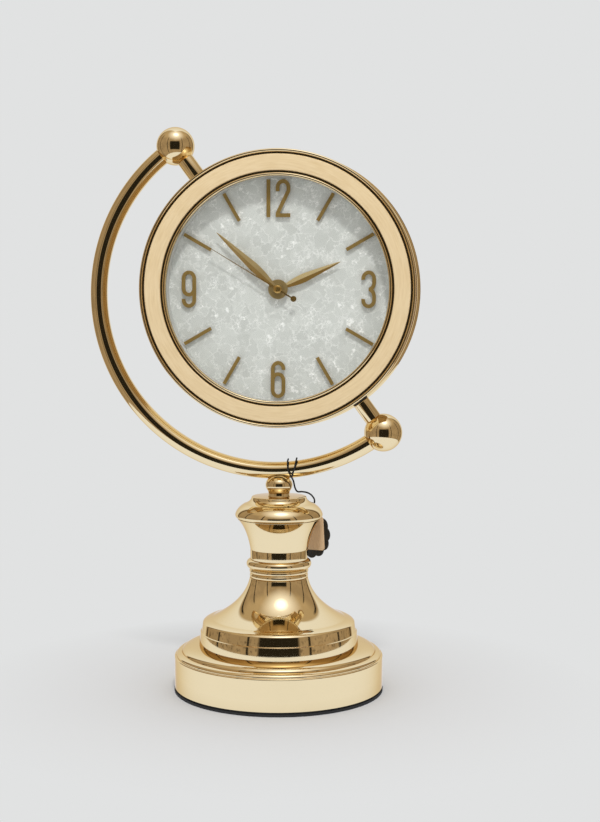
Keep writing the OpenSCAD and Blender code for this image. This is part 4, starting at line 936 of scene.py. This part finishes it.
# A round tube along a route
def tubeAlong(name, route, radius, node=None, slot=None, sides=12):
    verts, faces = [], []
    up = Vector((1, 0.3, 0.1))         # a way that the route never takes
    last = len(route) - 1
    for i, p in enumerate(route):
        ahead = (route[min(i + 1, last)] - route[max(i - 1, 0)]).normalized()
        side = ahead.cross(up).normalized()
        lift = ahead.cross(side)
        for k in range(sides):
            a = 2 * math.pi * k / sides
            verts.append((p + radius * (math.cos(a) * side + math.sin(a) * lift)) * mm)
    for i in range(last):
        for k in range(sides):
            m = (k + 1) % sides
            faces.append([i * sides + k, (i + 1) * sides + k, (i + 1) * sides + m, i * sides + m])
    faces.append(list(range(sides)))
    faces.append([last * sides + k for k in reversed(range(sides))])
    return merged(meshPiece(name, verts, faces, "stand", node, slot=slot))


label = makeLabel(tag)
card = softened("tag_card", "stand", tag["soft"])
stringRoute = smoothRoute(stringPoints(tagString))
stringPiece = tubeAlong("tag_string_tube", stringRoute, tagString["radius"], "tag_string")
strand = tubeAlong("tag_string_strand", smoothRoute(tag["strand"]), tagString["radius"], slot="black_string")
stringLength = sum((b - a).length for a, b in zip(stringRoute, stringRoute[1:])) * mm
tuple(stringRoute[0] * mm)
[tuple(p * mm) for p in stringRoute]
print("tag made")

# The white round the clock, as the camera sees it and as the gold shows it
backdrop = {"seen": shown(225, 226, 226), "mirrored": (0.94, 1.0, 1.14)}

# Stage: a pale table top that fades into the backdrop; distances from the clock in metres
stage = {
    "lit": 0.62,               # tone of the part that takes the shadow
    "fadeFrom": 0.085, "fadeTo": 0.20, "reach": 0.36, "sides": 64,
}


def makeStage(s):
    f = newFinish("stageFloor")
    inGold = f.node("LightPath", out="Is Glossy Ray")
    lit = f.node("BsdfDiffuse", {0: colour((s["lit"],) * 3)})
    flat = f.node("Emission", {0: f.blend(inGold, backdrop["seen"], backdrop["mirrored"])})
    x, y, _ = f.split(f.place())
    far = (x * x + y * y).math("SQRT")
    fade = ((far - s["fadeFrom"]) / (s["fadeTo"] - s["fadeFrom"]) + inGold).clamp()
    f.done(f.node("MixShader", {0: fade, 1: lit, 2: flat}))
    mesh = bpy.data.meshes.new("floor")
    verts, faces = [(0, 0, 0)], []
    for k in range(s["sides"]):
        a = 2 * math.pi * k / s["sides"]
        verts.append((s["reach"] * math.cos(a), s["reach"] * math.sin(a), 0))
        faces.append([0, k + 1, (k + 1) % s["sides"] + 1])
    mesh.from_pydata(verts, [], faces)
    mesh.materials.append(f.owner)
    linked("floor", mesh)


makeStage(stage)

# The softbox, high in front and a little to the right, in metres; the gold shows the room's glow in its place
softbox = {
    "about": (0.0, 0.0, 0.2), "from": (0.12, -0.63, 0.78), "reach": 1.5, "size": 0.17, "power": 9.6,
    "seenAt": (0.113, -0.37, 0.922),
}


def makeSoftbox(s):
    data = bpy.data.lights.new("softbox", "AREA")
    data.shape = "DISK"
    data.size = s["size"]
    data.energy = s["power"]
    lamp = linked("softbox", data)
    way = Vector(s["from"]).normalized()
    lamp.location = Vector(s["about"]) + way * s["reach"]
    lamp.rotation_euler = way.to_track_quat("Z", "Y").to_euler()
    lamp.visible_glossy = False


makeSoftbox(softbox)

# Room that the gold mirrors: the backdrop, and brown walls at the front with a dark gap between them
room = {
    "fill": 0.88,              # level of the light that all but the mirror-like pieces get
    "wall": (0.379, 0.297, 0.207), "high": (0.505, 0.409, 0.282), "dark": (0.020, 0.017, 0.012),
    "front": 6.0,              # where the front is, to the clock's right
    "wallEnd": 138.0,          # where the walls end, from the front
    "highFrom": (40.0, 14.0),  # where the walls turn to their high tone, and how softly
    "gap": (30.0, 24.0),       # half the width and height of the dark gap
    "soft": 4.0,               # softness of the walls' edges
    # Patches in the walls: scale and detail of the noise, where it starts to show, and how much
    "panels": {"scale": 3.0, "detail": 2.0, "over": 0.45, "contrast": 3.0, "share": 0.5, "brighter": 1.7},
    "spots": {"scale": 16.0, "detail": 3.0, "over": 0.54, "contrast": 8.0, "share": 0.6, "rise": 14.0},
    "posts": {"at": (46.0, 99.0, 132.0), "width": 3.5, "rise": 45.0, "soft": 1.5},
    "softRise": 6.0,           # softness of the tops of spots and posts
    "glow": {"reach": 42.0, "strength": 1.7, "fall": 1.3},               # round the softbox
    "core": {"reach": 9.0, "strength": 2.6, "soft": 12.0},
}


def makeRoom(r):
    world = bpy.data.worlds.new("room")
    scene.world = world
    f = Finish(world, "OutputWorld")
    way = f.node("TexCoord", out="Generated")
    x, y, z = f.split(way)
    a = math.radians(r["front"])
    perRadian = 180 / math.pi
    ahead = x * math.sin(a) - y * math.cos(a)
    aside = (x * math.cos(a) + y * math.sin(a)).math("ABSOLUTE")
    turn = aside.math("ARCTAN2", ahead) * perRadian
    rise = z.math("ARCSINE") * perRadian
    level = rise.math("ABSOLUTE")

    def inside(value, limit, soft):
        return ((limit - value) / soft + 0.5).clamp()

    def patches(p):
        return ((f.noise(p["scale"], p["detail"], at=way) - p["over"]) * p["contrast"]).clamp() * p["share"]

    panels, spots, posts, glow, core = (r[key] for key in ("panels", "spots", "posts", "glow", "core"))
    wall = f.blend(inside(r["highFrom"][0], rise, r["highFrom"][1]), r["wall"], r["high"])
    wall = f.blend(patches(panels), wall, times(r["wall"], panels["brighter"]))
    wall = f.blend(patches(spots) * inside(level, spots["rise"], r["softRise"]), wall, r["dark"])
    for at in posts["at"]:
        post = inside((turn - at).math("ABSOLUTE"), posts["width"] / 2, posts["soft"])
        wall = f.blend(post * inside(rise, posts["rise"], r["softRise"]), wall, r["dark"])
    gap = inside(turn, r["gap"][0], r["soft"]) * inside(level, r["gap"][1], r["soft"])
    wall = f.blend(gap, wall, r["dark"])
    white = backdrop["mirrored"]
    mirrored = f.blend(inside(turn, r["wallEnd"], r["soft"]), white, wall)
    beam = Vector(softbox["seenAt"]).normalized()
    apart = (x * beam.x + y * beam.y + z * beam.z).math("ARCCOSINE") * perRadian
    halo = (1.0 - apart / glow["reach"]).clamp().power(glow["fall"])
    mirrored = f.blend(halo, mirrored, times(white, glow["strength"]))
    mirrored = f.blend(inside(apart, core["reach"], core["soft"]), mirrored, times(white, core["strength"]))
    tone = f.blend(f.node("LightPath", out="Is Glossy Ray"), (r["fill"],) * 3, mirrored)
    tone = f.blend(f.node("LightPath", out="Is Camera Ray"), tone, backdrop["seen"])
    f.done(f.node("Background", {0: tone}))


makeRoom(room)

scene.view_settings.view_transform = "Standard"
print("stage and light made")
